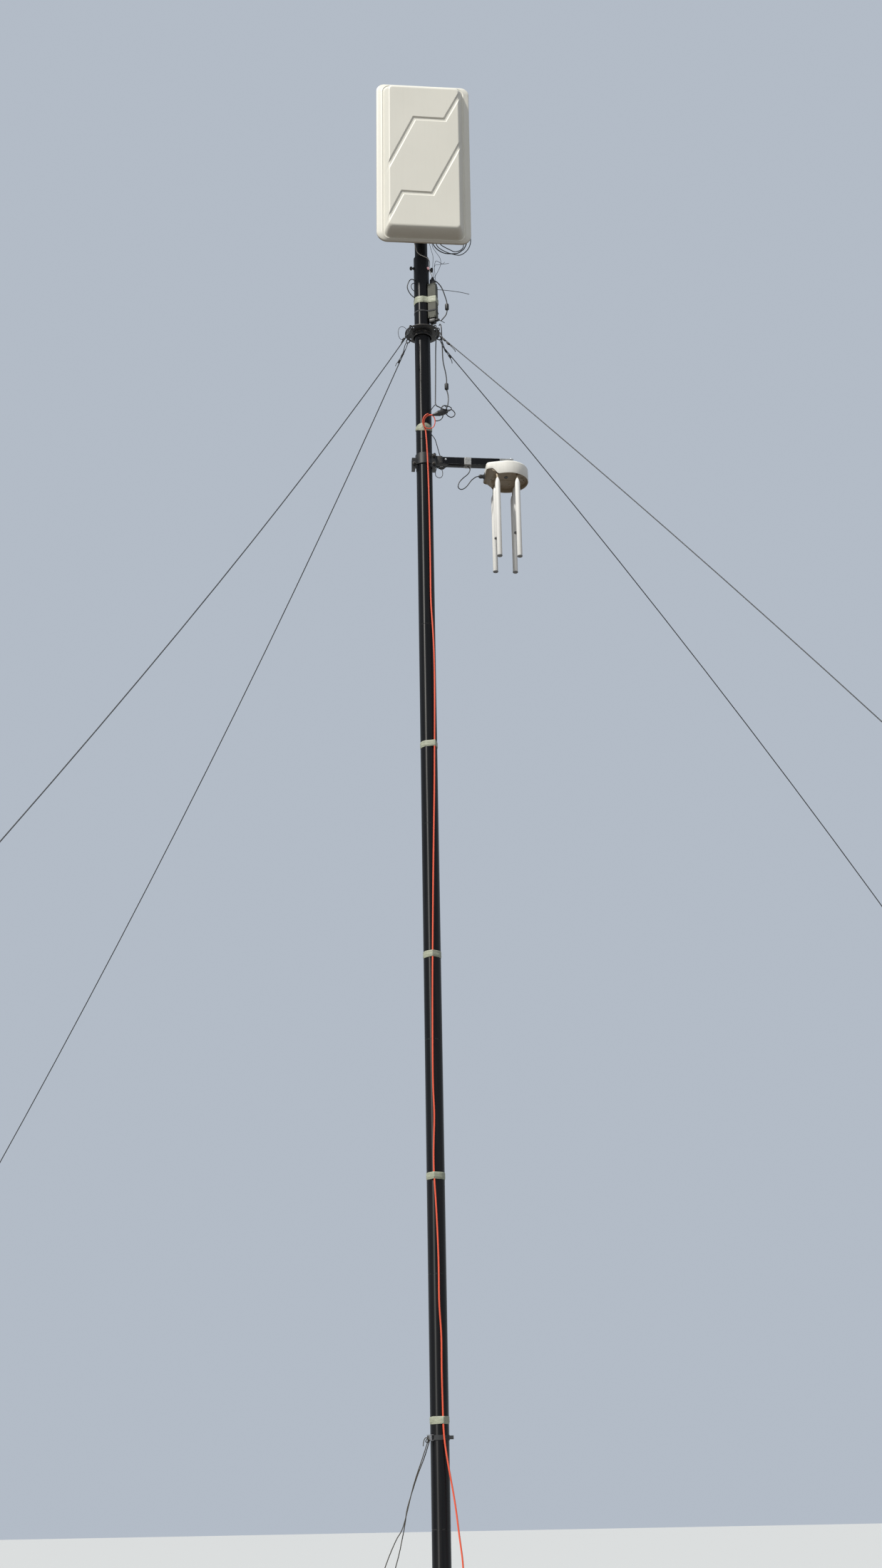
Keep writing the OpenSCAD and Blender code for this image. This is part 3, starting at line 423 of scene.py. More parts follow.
def laid_rope(slot, colour, gap_shade, strands, turn, rough=(0.4, 0.6), metallic=0.0, depth=0.0008):
    """Strands laid round a rope, darker in the gaps between them as painted shade."""
    f = Finish(slot, metallic)
    lay = f.group(LAY, Strands=strands, Turn_Length=turn)
    grain = f.group(GRAIN, Patch_Scale=3.0, Grain_Scale=600.0)
    base = mixed(f.tree, grain["Patches"], tint(colour, 0.8), tint(colour, 1.2))
    # Painted shade in the gaps between the strands.
    f.colour(mixed(f.tree, lay["Gap"], base, gap_shade))
    f.rough(grain["Patches"], *rough)
    f.bump(lay["Height"], depth, 1.0)
    FINISHES[slot] = f.material


def wrinkled_tape(slot, colour, dirt, rough=(0.45, 0.65)):
    """Cloth-backed tape: crosswise creases with painted shade in their troughs and painted
    highlight on their crests, wound edges, and runs of dirt.
    """
    f = Finish(slot)
    place = add_node(f.tree, "TexCoord").outputs["Object"]
    drawn = add_node(f.tree, "Mapping", {"Vector": place, "Scale": (1, 1, 3.2)}).outputs[0]
    crease = add_node(f.tree, "TexNoise", {"Vector": drawn, "Scale": 55.0, "Detail": 6.0,
                                           "Distortion": 1.4})
    ridge = ramp(f.tree, crease.outputs["Fac"], 0.35, 0.65)
    weather = f.group(WEATHER, Dust=0.3, Runs=0.35)
    # Painted shade and highlight: darker in the crease troughs, lighter on their crests.
    base = mixed(f.tree, ridge, tint(colour, 0.82), tint(colour, 1.08))
    f.colour(mixed(f.tree, weather["Runs"], base, dirt))
    f.rough(ridge, *rough)
    f.bump(ridge, 0.0006, 0.45)
    FINISHES[slot] = f.material


def make_finishes():
    moulded("mast_black", (0.0024, 0.0024, 0.0034), rough=(0.37, 0.42), patches=7.0, grain=250.0,
            shade=0.25, dust=0.30, runs=0.05, dirt=(0.10, 0.095, 0.085),
            edge=(0.16, 0.165, 0.17), edge_amount=0.5, edge_radius=0.004, bump=0.00003,
            stretch=(1, 1, 0.25), drawn=0.93)
    moulded("steel_dark", (0.010, 0.0105, 0.012), rough=(0.50, 0.66), patches=14.0, dust=0.45,
            runs=0.25, dirt=(0.13, 0.105, 0.075), edge=(0.17, 0.145, 0.12), edge_amount=0.8,
            edge_radius=0.003, bump=0.0004)
    moulded("fitting_black", (0.0075, 0.0078, 0.0085), rough=(0.38, 0.55), patches=18.0,
            grain=700.0, shade=0.2, dust=0.35, runs=0.1, dirt=(0.12, 0.11, 0.10),
            edge=(0.07, 0.07, 0.07), edge_amount=0.6, edge_radius=0.0015)
    # Second colour: painted shade in the gaps between the strands.
    laid_rope("stay_rope", (0.075, 0.078, 0.082), (0.012, 0.012, 0.012), 7.0, 0.045,
              rough=(0.35, 0.5), metallic=0.55, depth=0.0007)
    galvanised_steel("galvanised", (0.46, 0.475, 0.49))
    # The radome's edge colour is lighter than its body: a painted highlight on its rounded edges
    # and lip.
    moulded("radome_white", (0.72, 0.71, 0.64), rough=(0.36, 0.46), patches=2.5, grain=900.0,
            shade=0.02, dust=0.22, runs=0.03, dirt=(0.40, 0.37, 0.30),
            edge=(0.78, 0.77, 0.70), edge_amount=0.35, edge_radius=0.006, bump=0.00015)
    moulded("tray_white", (0.69, 0.68, 0.61), rough=(0.36, 0.5), patches=3.0, grain=900.0,
            shade=0.03, dust=0.25, runs=0.05, dirt=(0.38, 0.35, 0.29), bump=0.00015)
    moulded("housing_white", (0.76, 0.755, 0.71), rough=(0.32, 0.42), patches=6.0, grain=900.0,
            shade=0.02, dust=0.25, runs=0.10, dirt=(0.42, 0.39, 0.33), bump=0.00012)
    # Tan of the tub, its inner walls and the rod studs: painted shade under the cover.
    moulded("housing_tan", (0.40, 0.335, 0.25), rough=(0.45, 0.6), patches=16.0, grain=600.0,
            shade=0.08, dust=0.1, runs=0.25, dirt=(0.20, 0.17, 0.13), bump=0.0003)
    moulded("rod_white", (0.78, 0.78, 0.755), rough=(0.28, 0.40), patches=5.0, grain=800.0,
            shade=0.02, dust=0.1, runs=0.12, dirt=(0.40, 0.38, 0.34), bump=0.0001)
    moulded("cap_grey", (0.19, 0.195, 0.20), rough=(0.4, 0.55), patches=20.0, dust=0.2)
    moulded("box_grey", (0.066, 0.070, 0.053), rough=(0.64, 0.76), patches=20.0, grain=700.0,
            shade=0.08, dust=0.3, runs=0.25, dirt=(0.13, 0.12, 0.10),
            edge=(0.17, 0.175, 0.14), edge_amount=0.4, edge_radius=0.002)
    wrinkled_tape("tape_pale", (0.36, 0.385, 0.295), (0.20, 0.19, 0.15))
    wrinkled_tape("tape_grey", (0.33, 0.34, 0.345), (0.14, 0.14, 0.135), rough=(0.3, 0.5))
    moulded("cable_black", (0.018, 0.0185, 0.02), rough=(0.36, 0.5), patches=25.0, grain=800.0,
            shade=0.25, dust=0.3, runs=0.0, dirt=(0.10, 0.095, 0.09))
    moulded("cord_orange", (0.80, 0.115, 0.055), rough=(0.34, 0.46), patches=3.0, grain=500.0,
            shade=0.10, dust=0.2, runs=0.0, dirt=(0.42, 0.16, 0.09))
    # Second colour: painted shade in the gaps between the strands.
    laid_rope("rope_fibre", (0.075, 0.068, 0.055), (0.02, 0.018, 0.015), 3.0, 0.03,
              rough=(0.7, 0.9), depth=0.0012)
    # Painted light: the bright base colour and faint glow lift the lens where it faces away from
    # the sun.
    moulded("lamp_pink", (1.0, 0.62, 0.66), rough=(0.12, 0.22), patches=40.0, shade=0.08,
            dust=0.15, dirt=(0.45, 0.35, 0.33), coat=0.5)
    lens_painted_glow = FINISHES["lamp_pink"].node_tree.nodes["Principled BSDF"]
    lens_painted_glow.inputs["Emission Color"].default_value = (1.0, 0.45, 0.50, 1)
    lens_painted_glow.inputs["Emission Strength"].default_value = 0.22
    moulded("strap_dark", (0.028, 0.03, 0.033), rough=(0.7, 0.85), patches=30.0, grain=900.0,
            shade=0.3, dust=0.35, dirt=(0.11, 0.10, 0.09), bump=0.0006, stretch=(1, 1, 4))


make_finishes()


# Ways of working that the pieces share

def select(*pieces):
    """Only these pieces selected, and the first of them active."""
    bpy.ops.object.select_all(action="DESELECT")
    for piece in pieces:
        piece.select_set(True)
    bpy.context.view_layer.objects.active = pieces[0]


def finish_piece(piece, slot, *replaced, sharp=35):
    """Gives a piece its finish and its smooth faces, and hides the parts it replaces."""
    piece.data.materials.clear()
    piece.data.materials.append(FINISHES[slot])
    select(piece)
    bpy.ops.object.transform_apply(location=True, rotation=True, scale=True)
    bpy.ops.object.shade_smooth_by_angle(angle=math.radians(sharp))
    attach(piece, "root")
    if replaced:
        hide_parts(*replaced)


def from_bmesh(name, work):
    """A new object from mesh code, with its faces turned outwards."""
    bmesh.ops.recalc_face_normals(work, faces=work.faces)
    mesh = bpy.data.meshes.new(name)
    work.to_mesh(mesh)
    work.free()
    piece = bpy.data.objects.new(name, mesh)
    scene.collection.objects.link(piece)
    return piece


def settle(name, dims):
    """Names what was just added and brings it to its size in millimetres."""
    piece = bpy.context.object
    select(piece)
    piece.name = name
    piece.scale = [v / 1000 for v in dims]
    bpy.ops.object.transform_apply(location=True, rotation=True, scale=True)
    return piece


def block(name, dims, at=(0, 0, 0)):
    """A box round this place, in millimetres."""
    bpy.ops.mesh.primitive_cube_add(size=1, location=[v / 1000 for v in at])
    return settle(name, dims)


def drum(name, radius, height, at=(0, 0, 0), sides=32):
    """A cylinder from this place upwards, in millimetres."""
    middle = [v / 1000 for v in (at[0], at[1], at[2] + height / 2)]
    bpy.ops.mesh.primitive_cylinder_add(vertices=sides, radius=1, depth=1, location=middle)
    return settle(name, (radius, radius, height))


def hoop(name, radius, thick, at=(0, 0, 0), sides=40, round_sides=12):
    """A ring round this place, in millimetres."""
    bpy.ops.mesh.primitive_torus_add(major_radius=radius / 1000, minor_radius=thick / 2000,
                                     major_segments=sides, minor_segments=round_sides,
                                     location=[v / 1000 for v in at])
    return settle(name, (1000, 1000, 1000))


def pick_faces(piece, test):
    """Selects, in edit mode, the faces whose middle and normal pass the test."""
    bpy.ops.object.mode_set(mode="EDIT")
    bpy.ops.mesh.select_mode(type="FACE")
    bpy.ops.mesh.select_all(action="DESELECT")
    work = bmesh.from_edit_mesh(piece.data)
    for face in work.faces:
        face.select_set(test(face.calc_center_median(), face.normal))
    bmesh.update_edit_mesh(piece.data)


def inset_faces(piece, test, thickness, depth=0.0):
    """Insets the picked faces and moves them along their normals, in millimetres."""
    pick_faces(piece, test)
    bpy.ops.mesh.inset(thickness=thickness / 1000, depth=depth / 1000)
    bpy.ops.object.mode_set(mode="OBJECT")


def bevel_edges(piece, width, segments=3, angle=30):
    """Rounds the sharp edges of a piece and applies it."""
    rounding = piece.modifiers.new("soft_edges", "BEVEL")
    rounding.width = width / 1000
    rounding.segments = segments
    rounding.limit_method = "ANGLE"
    rounding.angle_limit = math.radians(angle)
    bpy.context.view_layer.objects.active = piece
    bpy.ops.object.modifier_apply(modifier=rounding.name)


SIDES = {
    "top": lambda middle, normal: normal.z > 0.9,
    "low": lambda middle, normal: normal.z < -0.9,
    "ends": lambda middle, normal: abs(normal.z) > 0.9,
    "front": lambda middle, normal: normal.y < -0.9,
    "flanks": lambda middle, normal: abs(normal.y) > 0.9,
    "right": lambda middle, normal: normal.x > 0.9,
}


def worked(piece, *cuts, soft=None):
    """Insets the faces that look one way, cut after cut, then rounds the edges."""
    for side, thickness, depth in cuts:
        inset_faces(piece, SIDES[side], thickness, depth)
    if soft:
        bevel_edges(piece, *soft)
    return piece


def joined(name, pieces):
    """One object from several, each of which keeps its own closed shell."""
    select(*pieces)
    bpy.ops.object.transform_apply(location=True, rotation=True, scale=True)
    if len(pieces) > 1:
        bpy.ops.object.join()
    whole = bpy.context.view_layer.objects.active
    whole.name = name
    return whole


def set_down(piece, place):
    """Moves a piece's mesh by a matrix whose lengths are millimetres."""
    in_metres = Matrix.Translation(place.to_translation() / 1000) @ place.to_3x3().to_4x4()
    piece.data.transform(in_metres)
    return piece


def copy_at(master, place):
    """A copy with a mesh of its own, set down by a matrix in millimetres."""
    copy = bpy.data.objects.new(master.name + "_copy", master.data.copy())
    scene.collection.objects.link(copy)
    return set_down(copy, place)


def copies(name, master, places):
    """A piece made of copies of one fitting, each set down by its own matrix."""
    return joined(name, [copy_at(master, place) for place in places])


def drop(*pieces):
    for piece in pieces:
        bpy.data.objects.remove(piece, do_unlink=True)


def turned(axis, degrees):
    return Matrix.Rotation(math.radians(degrees), 4, axis)


def moved(x, y, z):
    return Matrix.Translation((x, y, z))


def facing(way):
    """Turns what was made along Z to lie along this way."""
    return Vector(way).to_track_quat("Z", "Y").to_matrix().to_4x4()


def on_circle(r, degrees, centre=(0, 0)):
    """Point of a circle, counted round from the right."""
    a = math.radians(degrees)
    return centre[0] + r * math.cos(a), centre[1] + r * math.sin(a)


def skin(work, rings):
    """Faces between each ring of points and the next."""
    faces = []
    for a, b in zip(rings, rings[1:]):
        for i in range(len(a)):
            k = (i + 1) % len(a)
            faces.append(work.faces.new((a[i], a[k], b[k], b[i])))
    return faces


# Leads, ropes and stays: round tubes along routes in millimetres

def smooth_route(points, steps):
    p = [Vector(q) for q in points]
    route = []
    for i in range(len(p) - 1):
        a, b, c, d = p[max(i - 1, 0)], p[i], p[i + 1], p[min(i + 2, len(p) - 1)]
        for k in range(steps):
            t = k / steps
            route.append(0.5 * (2 * b + (c - a) * t + (2 * a - 5 * b + 4 * c - d) * t * t
                                + (3 * b - a - 3 * c + d) * t * t * t))
    return route + [p[-1]]


def sweep(work, uv, route, radius, sides):
    """One closed tube; U runs round it and V along it in metres."""
    places = [p / 1000 for p in route]
    last = len(places) - 1
    side = None
    rings, run = [], [0.0]
    for i, spot in enumerate(places):
        ahead = (places[min(i + 1, last)] - places[max(i - 1, 0)]).normalized()
        side = ahead.orthogonal() if side is None else side - ahead * side.dot(ahead)
        side.normalize()
        up = ahead.cross(side)
        angles = [2 * math.pi * j / sides for j in range(sides)]
        rings.append([work.verts.new(spot + radius / 1000 * (math.cos(a) * side
                                                             + math.sin(a) * up))
                      for a in angles])
        if i:
            run.append(run[-1] + (spot - places[i - 1]).length)
    for n, face in enumerate(skin(work, rings)):
        i, j = divmod(n, sides)
        for loop, (u, v) in zip(face.loops, ((j, i), (j + 1, i), (j + 1, i + 1), (j, i + 1))):
            loop[uv].uv = (u / sides, run[v])
    work.faces.new(list(reversed(rings[0])))
    work.faces.new(rings[-1])


def tubes(name, slot, runs, *replaced, steps=4, sides=12, sharp=50):
    """Several leads in one piece; each run has its points and its diameter."""
    work = bmesh.new()
    uv = work.loops.layers.uv.new("UVMap")
    for points, diameter in runs:
        sweep(work, uv, smooth_route(points, steps), diameter / 2, sides)
    finish_piece(from_bmesh(name, work), slot, *replaced, sharp=sharp)


# Panel antenna

panel_w, panel_h = 588, 1145
low_corner, top_corner = 66, 50
# Place of the tray's lower edge, lean in degrees and shift to the right
panel_y, panel_z, panel_lean, panel_shift = -109.5, 8975, 3, 6
panel_place = (moved(0, panel_y, panel_z) @ turned("X", 90 + panel_lean)
               @ moved(panel_shift - panel_w / 2, 0, 0))
# Where the raised front meets the flange, and how far its slopes run in
foot_left, foot_low, foot_top = 46, 17, 1125
side_run, low_run, top_run = 33, 60, 48
# Height above the tray's back: part -1 is the rim, 0 the slope's foot and 1 the flat face
slope = [(-1.0, 39.5), (-0.985, 42.6), (-0.95, 45.2), (-0.90, 46.6), (-0.84, 47.7),
         (-0.60, 51.0), (-0.36, 54.2), (-0.31, 55.0), (-0.27, 56.1), (-0.22, 56.7),
         (-0.17, 56.1), (-0.13, 55.2), (-0.08, 54.7), (-0.03, 55.4), (0.02, 57.4), (0.07, 61.0),
         (0.14, 67.2), (0.24, 75.6), (0.36, 85.0), (0.48, 93.6), (0.60, 101.4), (0.70, 107.0),
         (0.78, 110.9), (0.86, 113.9), (0.93, 115.7), (1.0, 116.6), (1.08, 117.0),
         (1.14, 117.0), (1.2, 117.0)]
groove_depth, groove_half, groove_fade = 6.2, 15.5, 26
groove_lines = (0, 5.5, 7, 8.5, 10, 11.5, 13, 14.3, 15.5, 17)
groove_paths = [[(79, 514.7), (98, 556), (234, 851), (426, 848), (494, 985), (509, 1015)],
                [(79, 135.5), (98, 176), (158, 308), (344, 304), (492, 614), (509, 649.6)]]


def round_ring(left, low, right, top, low_r, top_r, steps=9):
    """Rectangle with round corners, counterclockwise from its lower left."""
    points = []
    corners = [(left + low_r, low + low_r, low_r, 180), (right - low_r, low + low_r, low_r, 270),
               (right - top_r, top - top_r, top_r, 0), (left + top_r, top - top_r, top_r, 90)]
    for x, y, r, start in corners:
        points += [on_circle(r, start + 90 * k / steps, (x, y)) for k in range(steps + 1)]
    return points


def front_limits(part):
    """Left, low, right and top edge and the two corner radii of one level of the front."""
    if part < 0:
        out = 1 + part
        side, low, top = foot_left * out, foot_low * out, panel_h - (panel_h - foot_top) * out
        return side, low, panel_w - side, top, low_corner - 20 * out, top_corner - 4 * out
    side = foot_left + side_run * part
    corner = 46 - 26 * min(part, 1)
    return (side, foot_low + low_run * part, panel_w - side, foot_top - top_run * part,
            corner, corner)


def lengthened(path, by):
    """The groove's line, run on straight past both its ends."""
    p = [Vector(q) for q in path]
    return [p[0] + (p[0] - p[1]).normalized() * by, *p[1:-1],
            p[-1] + (p[-1] - p[-2]).normalized() * by]


def off_groove(path, spot):
    """Distance from a groove's middle line, mitred at its bends."""
    leg = 0
    for i in range(1, len(path) - 1):
        ahead = (path[i] - path[i - 1]).normalized() + (path[i + 1] - path[i]).normalized()
        if (spot - path[i]).dot(ahead) > 0:
            leg = i
    along = (path[leg + 1] - path[leg]).normalized()
    away = spot - path[leg]
    return abs(along.x * away.y - along.y * away.x)


def groove_cut(path, spot):
    """Depth of the groove at a place: it narrows and runs out down the slopes."""
    past = max(0.0, foot_left + side_run - spot.x, spot.x - (panel_w - foot_left - side_run))
    left = 1 - past / groove_fade
    if left <= 0:
        return 0.0
    half = groove_half * math.sqrt(left)
    rise = min(1.0, max(0.0, (half - off_groove(path, spot)) / (0.55 * half)))
    return groove_depth * left * rise * rise * (3 - 2 * rise)


def offset_line(path, by):
    """Line beside the groove's middle, with its bends mitred."""
    line = []
    for i, spot in enumerate(path):
        before = (path[i] - path[i - 1]).normalized() if i else (path[1] - path[0]).normalized()
        after = (path[i + 1] - path[i]).normalized() if i + 1 < len(path) else before
        middle = (before + after).normalized()
        line.append(spot + Vector((-middle.y, middle.x)) * by / middle.dot(before))
    return line


def make_panel_front():
    """Moulded front: slopes with soft edges and two stepped grooves that run out on them."""
    paths = [lengthened(path, 62) for path in groove_paths]
    spots, edges = [], []
    for part, _ in reversed(slope):
        ring = round_ring(*front_limits(part))
        start = len(spots)
        spots += [Vector(p) for p in ring]
        edges += [(start + i, start + (i + 1) % len(ring)) for i in range(len(ring))]
    rim = list(range(start, len(spots)))
    for path in paths:
        for by in sorted({side * by for by in groove_lines for side in (-1, 1)}):
            line = offset_line(path, by)
            start = len(spots)
            spots += line
            edges += [(start + i, start + i + 1) for i in range(len(line) - 1)]
    flat, _, faces, *_ = delaunay_2d_cdt(spots, edges, [rim], 1, 0.01)
    work = bmesh.new()
    lifted = []
    for spot in flat:
        height = front_height(spot) - max(groove_cut(path, spot) for path in paths)
        lifted.append(work.verts.new(panel_place @ Vector((*spot, height)) / 1000))
    for face in faces:
        work.faces.new([lifted[i] for i in face])
    edge = [e for e in work.edges if e.is_boundary]
    grown = bmesh.ops.extrude_edge_only(work, edges=edge)["geom"]
    back = panel_place.to_3x3() @ Vector((0, 0, -0.004))
    moving = [part for part in grown if isinstance(part, bmesh.types.BMVert)]
    bmesh.ops.translate(work, vec=back, verts=moving)
    bmesh.ops.edgenet_fill(work, edges=[e for e in work.edges if e.is_boundary])
    finish_piece(from_bmesh("panel_moulded_front", work), "radome_white", "panel_front", sharp=25)


def front_height(spot):
    """Height of the moulded front without its grooves."""
    low, high = slope[0][0], slope[-1][0]
    for _ in range(22):
        part = (low + high) / 2
        if inside_ring(spot, part):
            low = part
        else:
            high = part
    for (a, height_a), (b, height_b) in zip(slope, slope[1:]):
        if low <= b:
            return height_a + (height_b - height_a) * max(0.0, (low - a) / (b - a))
    return slope[-1][1]


def inside_ring(spot, part):
    left, low, right, top, low_r, top_r = front_limits(part)
    r = low_r if spot.y < (low + top) / 2 else top_r
    x = max(left + r - spot.x, spot.x - (right - r), 0)
    y = max(low + r - spot.y, spot.y - (top - r), 0)
    return math.hypot(x, y) <= r + 1e-4


def make_panel_tray():
    """Back of the panel: a thin rounded rim and walls that taper in to a flat, ribbed rear."""
    profile = [(36.5, 30), (36.5, 2.0), (35.9, 1.3), (34.5, 1.0), (32.6, 1.6), (31.6, 3.2),
               (31.2, 6), (31, 25), (29.5, 27.4), (27, 28.4), (9, 32), (3.5, 33.6), (1, 35.6),
               (0, 39), (0, 56), (0.8, 58), (3, 59), (3, 90)]
    work = bmesh.new()
    rings = []
    for z, inset in profile:
        outline = round_ring(inset, inset, panel_w - inset, panel_h - inset,
                             max(low_corner - inset, 8), max(top_corner - inset, 8))
        rings.append([work.verts.new(panel_place @ Vector((*p, z)) / 1000) for p in outline])
    skin(work, rings)
    work.faces.new(rings[0])
    work.faces.new(rings[-1])
    finish_piece(from_bmesh("panel_rear_tray", work), "tray_white", "panel_tray", sharp=30)


make_panel_front()
make_panel_tray()


# Leads and ropes, each along the route of its own solid

def tray_y(z):
    """Rear of the tilted panel at this height."""
    return panel_y - (z - panel_z) * math.tan(math.radians(panel_lean))


def make_panel_leads():
    coax_a = [(58, tray_y(9080), 9080), (58, -100, 9080), (62, -92, 9060), (65, -92, 9016),
              (81, -94, 8984), (103, -98, 8959), (134, -100, 8941), (171, -100, 8938),
              (216, -100, 8943), (244, -98, 8965), (262, -94, 8988), (280, -92, 9040),
              (278, -100, 9080), (278, tray_y(9080), 9080)]
    coax_b = [(86, tray_y(9096), 9096), (86, -96, 9094), (86, -82, 9060), (90, -82, 9014),
              (108, -84, 8986), (148, -88, 8958), (182, -90, 8945), (221, -91, 8936),
              (243, -90, 8942), (266, -86, 8962), (290, -82, 8997), (303, -84, 9040),
              (301, -90, 9080), (282, -98, 9104), (262, tray_y(9106), 9106)]
    coax_c = [(116, tray_y(9070), 9070), (116, -98, 9068), (113, -88, 9050), (114, -86, 9016),
              (140, -96, 8987), (171, -110, 8959), (196, -108, 8949), (225, -106, 8956),
              (246, -104, 8974), (256, -101, 8996), (254, -99, 9030), (250, -101, 9062),
              (250, tray_y(9070), 9070)]
    tubes("panel_coax_loops", "cable_black",
          [(coax_a, 6.5), (coax_b, 5.5), (coax_c, 5.5)], "coax_leads")
    feed = [(-62, tray_y(9060), 9060), (-60, -98, 9056), (-50, -76, 9034), (-38, -52, 9008),
            (-30, -48, 8982), (-14, -54, 8957), (7, -56, 8944), (30, -49, 8938),
            (46, -30, 8934), (52, -12, 8922), (50, -8, 8900), (48, -14, 8880), (48, -26, 8860),
            (55, -34, 8836), (61, -37, 8818), (64, -38, 8800)]
    tubes("panel_feed_lead", "rod_white", [(feed, 5)])
    thin_a = [(40, tray_y(9070), 9070), (42, -96, 9066), (44, -84, 9030), (55, -78, 8981),
              (66, -70, 8944), (69, -60, 8922), (67, -56, 8890), (66, -52, 8850),
              (69, -46, 8816), (70, -42, 8800)]
    thin_b = [(66, tray_y(9064), 9064), (64, -98, 9060), (61, -86, 9028), (67, -80, 8993),
              (87, -78, 8959), (109, -74, 8925), (116, -66, 8900), (112, -60, 8870),
              (98, -52, 8838), (84, -46, 8812), (74, -42, 8796)]
    twig = [(76, -62, 8860), (83, -61, 8879), (100, -60, 8882), (126, -60, 8889),
            (142, -60, 8904)]
    tubes("panel_thin_leads", "stay_rope", [(thin_a, 2.6), (thin_b, 2.6), (twig, 2.2)])


ferrite_spots = [(150, -50, 8559), (137, -56, 7986)]


def make_box_leads():
    runs = [
        ([(78, -34, 8772), (84, -40, 8772), (95, -46, 8760), (115, -49, 8731), (129, -50, 8696),
          (141, -50, 8654), (149, -50, 8622), (150, -50, 8605)], 7),
        ([(150, -50, 8559), (149, -50, 8545), (143, -48, 8526), (130, -44, 8508),
          (117, -38, 8494), (110.6, -34.7, 8489.6)], 7),
        ([(-44, -22, 8784), (-56, -28, 8788), (-70, -32, 8784), (-82, -34, 8766),
          (-92, -36, 8731), (-87, -36, 8702), (-72, -32, 8676), (-56, -26, 8664),
          (-46, -20, 8661)], 6),
        ([(-46, -18, 8768), (-56, -22, 8764), (-66, -25, 8748), (-66, -25, 8732),
          (-58, -22, 8717), (-46, -18, 8710)], 4.5),
        ([(91.6, -34, 8717), (163, -40, 8709), (240, -44, 8697), (291, -46, 8684)], 3.5),
        ([(78, -30, 8474.8), (86, -40, 8484), (103, -50, 8483), (134, -52, 8466)], 4),
        ([(84, -42, 8762), (80, -58, 8800), (76, -62, 8860), (84, -62, 8905), (101, -62, 8903),
          (128, -60, 8889), (167, -60, 8896)], 2.6),
        ([(-104, -84, 8385), (-118, -90, 8396), (-136, -92, 8398), (-150, -92, 8386),
          (-156, -92, 8360), (-152, -90, 8330), (-140, -86, 8312), (-122, -82, 8318),
          (-106, -80, 8334)], 3),
    ]
    tubes("box_lead_loops", "cable_black", runs, "box_leads")


def make_hanging_leads():
    runs = [
        ([(61, -33, 8459), (64, -44, 8440), (72, -76, 8428), (76, -92, 8412), (77, -92, 8390),
          (77, -78, 8350), (74, -62, 8250), (72, -58, 8124), (67, -62, 7910), (66, -68, 7885),
          (72, -74, 7862), (88, -76, 7852), (102, -78, 7842), (107, -79, 7833.5)], 7),
        ([(104, -15, 8470), (106, -40, 8462), (110, -58, 8440), (112, -62, 8410),
          (113, -58, 8363), (116, -52, 8300), (119, -50, 8196), (133, -52, 8110),
          (138, -55, 8060), (137, -56, 8031)], 7),
        ([(137, -56, 7986), (144, -60, 7950), (145, -66, 7910), (140, -72, 7870),
          (133, -76, 7848), (129, -78, 7838)], 7),
        ([(64, -67, 7872), (58, -56, 7870), (50, -42, 7865), (43, -31, 7858),
          (38, -27, 7851)], 5),
        ([(129, -70, 7838), (146, -76, 7834), (163, -78, 7835), (176, -78, 7823),
          (182, -78, 7808), (176, -78, 7792), (160, -78, 7783), (143, -79, 7788),
          (129, -80, 7803)], 6),
        ([(96, -92, 7826), (102, -94, 7842), (116, -94, 7853), (136, -93, 7850),
          (152, -93, 7844), (160, -93, 7834), (152, -94, 7822), (138, -96, 7812),
          (124, -99, 7806)], 6),
        ([(104, -96, 7840), (114, -99, 7848), (125, -98, 7844), (132, -97, 7832),
          (126, -98, 7824), (114, -99, 7824), (106, -97, 7830)], 5),
        ([(110, -80, 7797), (106, -80, 7779), (95, -78, 7764), (80, -77, 7757),
          (71.5, -77, 7755), (64, -77, 7755.5)], 6),
        ([(45, -18, 7694), (52, -24, 7680), (64, -28, 7656), (75, -28, 7615), (86, -24, 7571),
          (94, -18, 7549), (98, -12, 7542.5)], 5),
    ]
    tubes("hanging_lead_loops", "cable_black", runs, "hanging_leads")
    ring = [(50, -82, 7784), (58, -80, 7772), (61, -78, 7756), (60, -75, 7738), (54, -70, 7722),
            (43, -66, 7712), (29, -64, 7708), (14, -64, 7710), (1, -64, 7718),
            (-9, -66, 7731), (-13, -70, 7747), (-11, -74, 7765), (-4, -78, 7781),
            (8, -81, 7794), (22, -83, 7799)]
    tubes("thin_orange_ring", "cord_orange", [(ring, 6)])


collar_z, ear_r, stake_z = 8410, 98, 150
# Length taken up between the rope and the ear's hole, and between the rope and the stake
link_run, tensioner_run = 52, 220
# Each stay's heading in degrees, its reach, its bow in the wind and its eye's free tail
stays = {"stay_front_left": (225, 6320, 1.0, 46), "stay_back_left": (140, 6245, 1.0, 18),
         "stay_front_right": (325, 6200, 1.25, 60), "stay_back_right": (12, 5780, 1.5, 22)}


def stay_way(heading, reach):
    """The stay's heading on the ground, its direction from ear to stake, and the stake's head."""
    ground = Vector((*on_circle(1, heading), 0))
    head = ground * reach + Vector((0, 0, stake_z))
    return ground, (head - ground * ear_r - Vector((0, 0, collar_z))).normalized(), head


def stay_ends(heading, reach):
    ground, slant, head = stay_way(heading, reach)
    start = ground * ear_r + Vector((0, 0, collar_z - 16)) + slant * link_run
    return start, head - slant * tensioner_run


def stay_hang(bow):
    """How far a stay's middle hangs off its straight line."""
    return Vector((200 * bow, 0, -20))


def make_stays():
    """Four stays of laid wire rope, each sagging and bowed by the wind."""
    for node, (heading, reach, bow, _) in stays.items():
        start, end = stay_ends(heading, reach)
        route = []
        for k in range(25):
            t = k / 24
            route.append(start + (end - start) * t + 4 * t * (1 - t) * stay_hang(bow))
        tubes(node + "_rope", "stay_rope", [(route, 6)], node, steps=1, sides=10)


